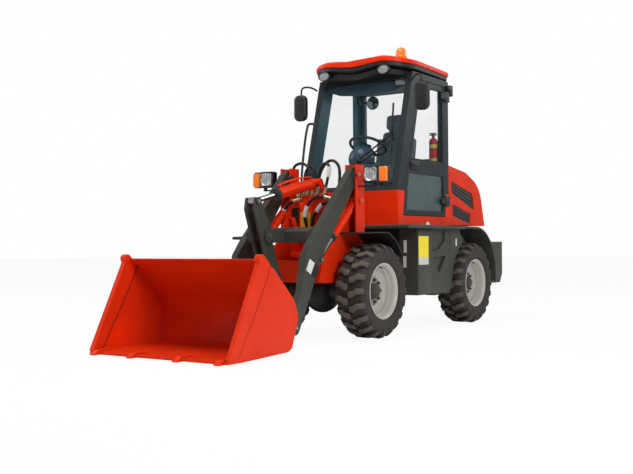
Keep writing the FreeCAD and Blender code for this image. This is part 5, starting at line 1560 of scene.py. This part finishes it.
class LOADER_OT_body_details(LoaderOperator):
    """Blank plates, box lids and small fasteners of the rear frame"""
    bl_idname = "loader.body_details"
    bl_label = "Body details"

    def execute(self, context):
        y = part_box("side_boxes")[1].y
        bm = solid_copy("side_boxes")
        hollow = [(-0.950, 0.655), (-0.810, 0.500), (-0.690, 0.645)]
        fold = [(-0.668, 0.888), (-0.668, 0.700), (-0.800, 0.715), (-0.930, 0.800), (-0.930, 0.888)]
        for side in SIDES:
            sunk_panel(bm, hollow, side, y - 0.002, 0.025, 0.012, 0)
            sunk_panel(bm, fold, side, y - 0.002, 0.018, 0.010, 0)
        dress("side_boxes", ["chassis_enamel"], context.scene.loader_sizes.edge_rounding * 2, bm)

        bm = bmesh.new()
        block(bm, (-0.586, y + 0.004, 0.583), (-0.395, y + 0.0065, 0.837), 0.0008, 1)
        piece("side_blank_plate", bm, ["yellow_over_grey_plate"], "rear_frame")
        bm = bmesh.new()
        block(bm, (-0.386, 0.392, 0.690), (-0.3825, 0.422, 0.800), 0.0008, 1)
        block(bm, (-0.386, 0.388, 0.560), (-0.3825, 0.418, 0.660), 0.0008, 1)
        block(bm, (-1.172, 0.533, 0.745), (-1.150, 0.538, 0.815), 0.0008, 1)
        piece("narrow_blank_plates", bm, ["pale_blank_plate"], "rear_frame")

        bm = bmesh.new()
        for side in SIDES:
            ys = pair(side, y - 0.002, y + 0.005)
            block(bm, (-0.655, ys[0], 0.325), (-0.388, ys[1], 0.900), 0.003)
            ys = pair(side, 0.40, 0.50)
            block(bm, (-0.90, ys[0], 0.296), (-0.78, ys[1], 0.318), 0.004)
            rod(bm, (-0.50, 0.565 * side, 0.932), (-0.50, 0.565 * side, 0.962), 0.027, 24, 0.016,
                finish_index=1)
        piece("side_box_panels", bm, ["chassis_enamel", "zinc_plated_steel"], "rear_frame")

        bm = bmesh.new()
        arch_radius, front_x, rear_x, foot, under, top = 0.415, -1.034, -1.262, 0.345, 0.872, 0.906
        turns = [math.radians(a) for a in (-6, 6, 18, 30, 42, 54, 64)]
        shape = ([Vector((front_x, 0, foot))]
                 + [REAR_AXLE + Vector((math.cos(a), 0, math.sin(a))) * arch_radius for a in turns]
                 + [Vector(p) for p in ((rear_x, 0, under), (rear_x, 0, top), (front_x, 0, top))])
        for side in SIDES:
            slab(bm, [p + Vector((0, CAB_FACE_Y * side, 0)) for p in shape], (0, 0.044 * side, 0))
        piece("fender_front_skirts", bm, ["chassis_enamel"], "rear_frame", 0.004)

        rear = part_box("counterweight")[0].x
        bm = bmesh.new()
        for side in SIDES:
            rod(bm, (rear + 0.01, 0.13 * side, 0.56), (rear - 0.016, 0.13 * side, 0.56), 0.020, 20)
            ys = pair(side, 0.22, 0.30)
            block(bm, (rear - 0.010, ys[0], 0.500), (rear + 0.01, ys[1], 0.620), 0.004)
        piece("rear_tow_plates", bm, ["chassis_enamel"], "rear_frame")

        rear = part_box("hood")[0].x
        bm = bmesh.new()
        for row in range(5):
            z = 1.06 + 0.045 * row
            start = rear - 0.004 + (0.02 if row == 4 else 0.0)
            block(bm, (start, -0.26, z), (rear + 0.03, 0.26, z + 0.018), 0.004)
        piece("hood_rear_louvres", bm, ["moulded_black_plastic"], "hood")
        return {"FINISHED"}


OPERATORS = (
    LOADER_OT_stage,
    LOADER_OT_finishes,
    LOADER_OT_frames,
    LOADER_OT_axle_housing,
    LOADER_OT_bucket_edges,
    LOADER_OT_boom_details,
    LOADER_OT_cylinder_details,
    LOADER_OT_tyres,
    LOADER_OT_rims,
    LOADER_OT_cab,
    LOADER_OT_hood,
    LOADER_OT_roof,
    LOADER_OT_lamps,
    LOADER_OT_cab_fittings,
    LOADER_OT_cab_inside,
    LOADER_OT_front_details,
    LOADER_OT_body_details,
)


class LOADER_PT_panel(bpy.types.Panel):
    """Lists the loader's settings and pieces"""
    bl_label = "Loader"
    bl_idname = "LOADER_PT_panel"
    bl_space_type = "VIEW_3D"
    bl_region_type = "UI"
    bl_category = "Loader"

    def draw(self, context):
        layout = self.layout
        for settings in (context.scene.loader_colours, context.scene.loader_sizes):
            box = layout.box()
            for name in settings.__annotations__:
                box.prop(settings, name)
        for operator in OPERATORS:
            layout.operator(operator.bl_idname)


CLASSES = (LoaderColours, LoaderSizes, *OPERATORS, LOADER_PT_panel)


def register():
    for one in CLASSES:
        bpy.utils.register_class(one)
    bpy.types.Scene.loader_colours = bpy.props.PointerProperty(type=LoaderColours)
    bpy.types.Scene.loader_sizes = bpy.props.PointerProperty(type=LoaderSizes)


def unregister():
    del bpy.types.Scene.loader_colours
    del bpy.types.Scene.loader_sizes
    for one in reversed(CLASSES):
        bpy.utils.unregister_class(one)


def main():
    register()
    for operator in OPERATORS:
        group, name = operator.bl_idname.split(".")
        getattr(getattr(bpy.ops, group), name)()


if __name__ == "__main__":
    main()
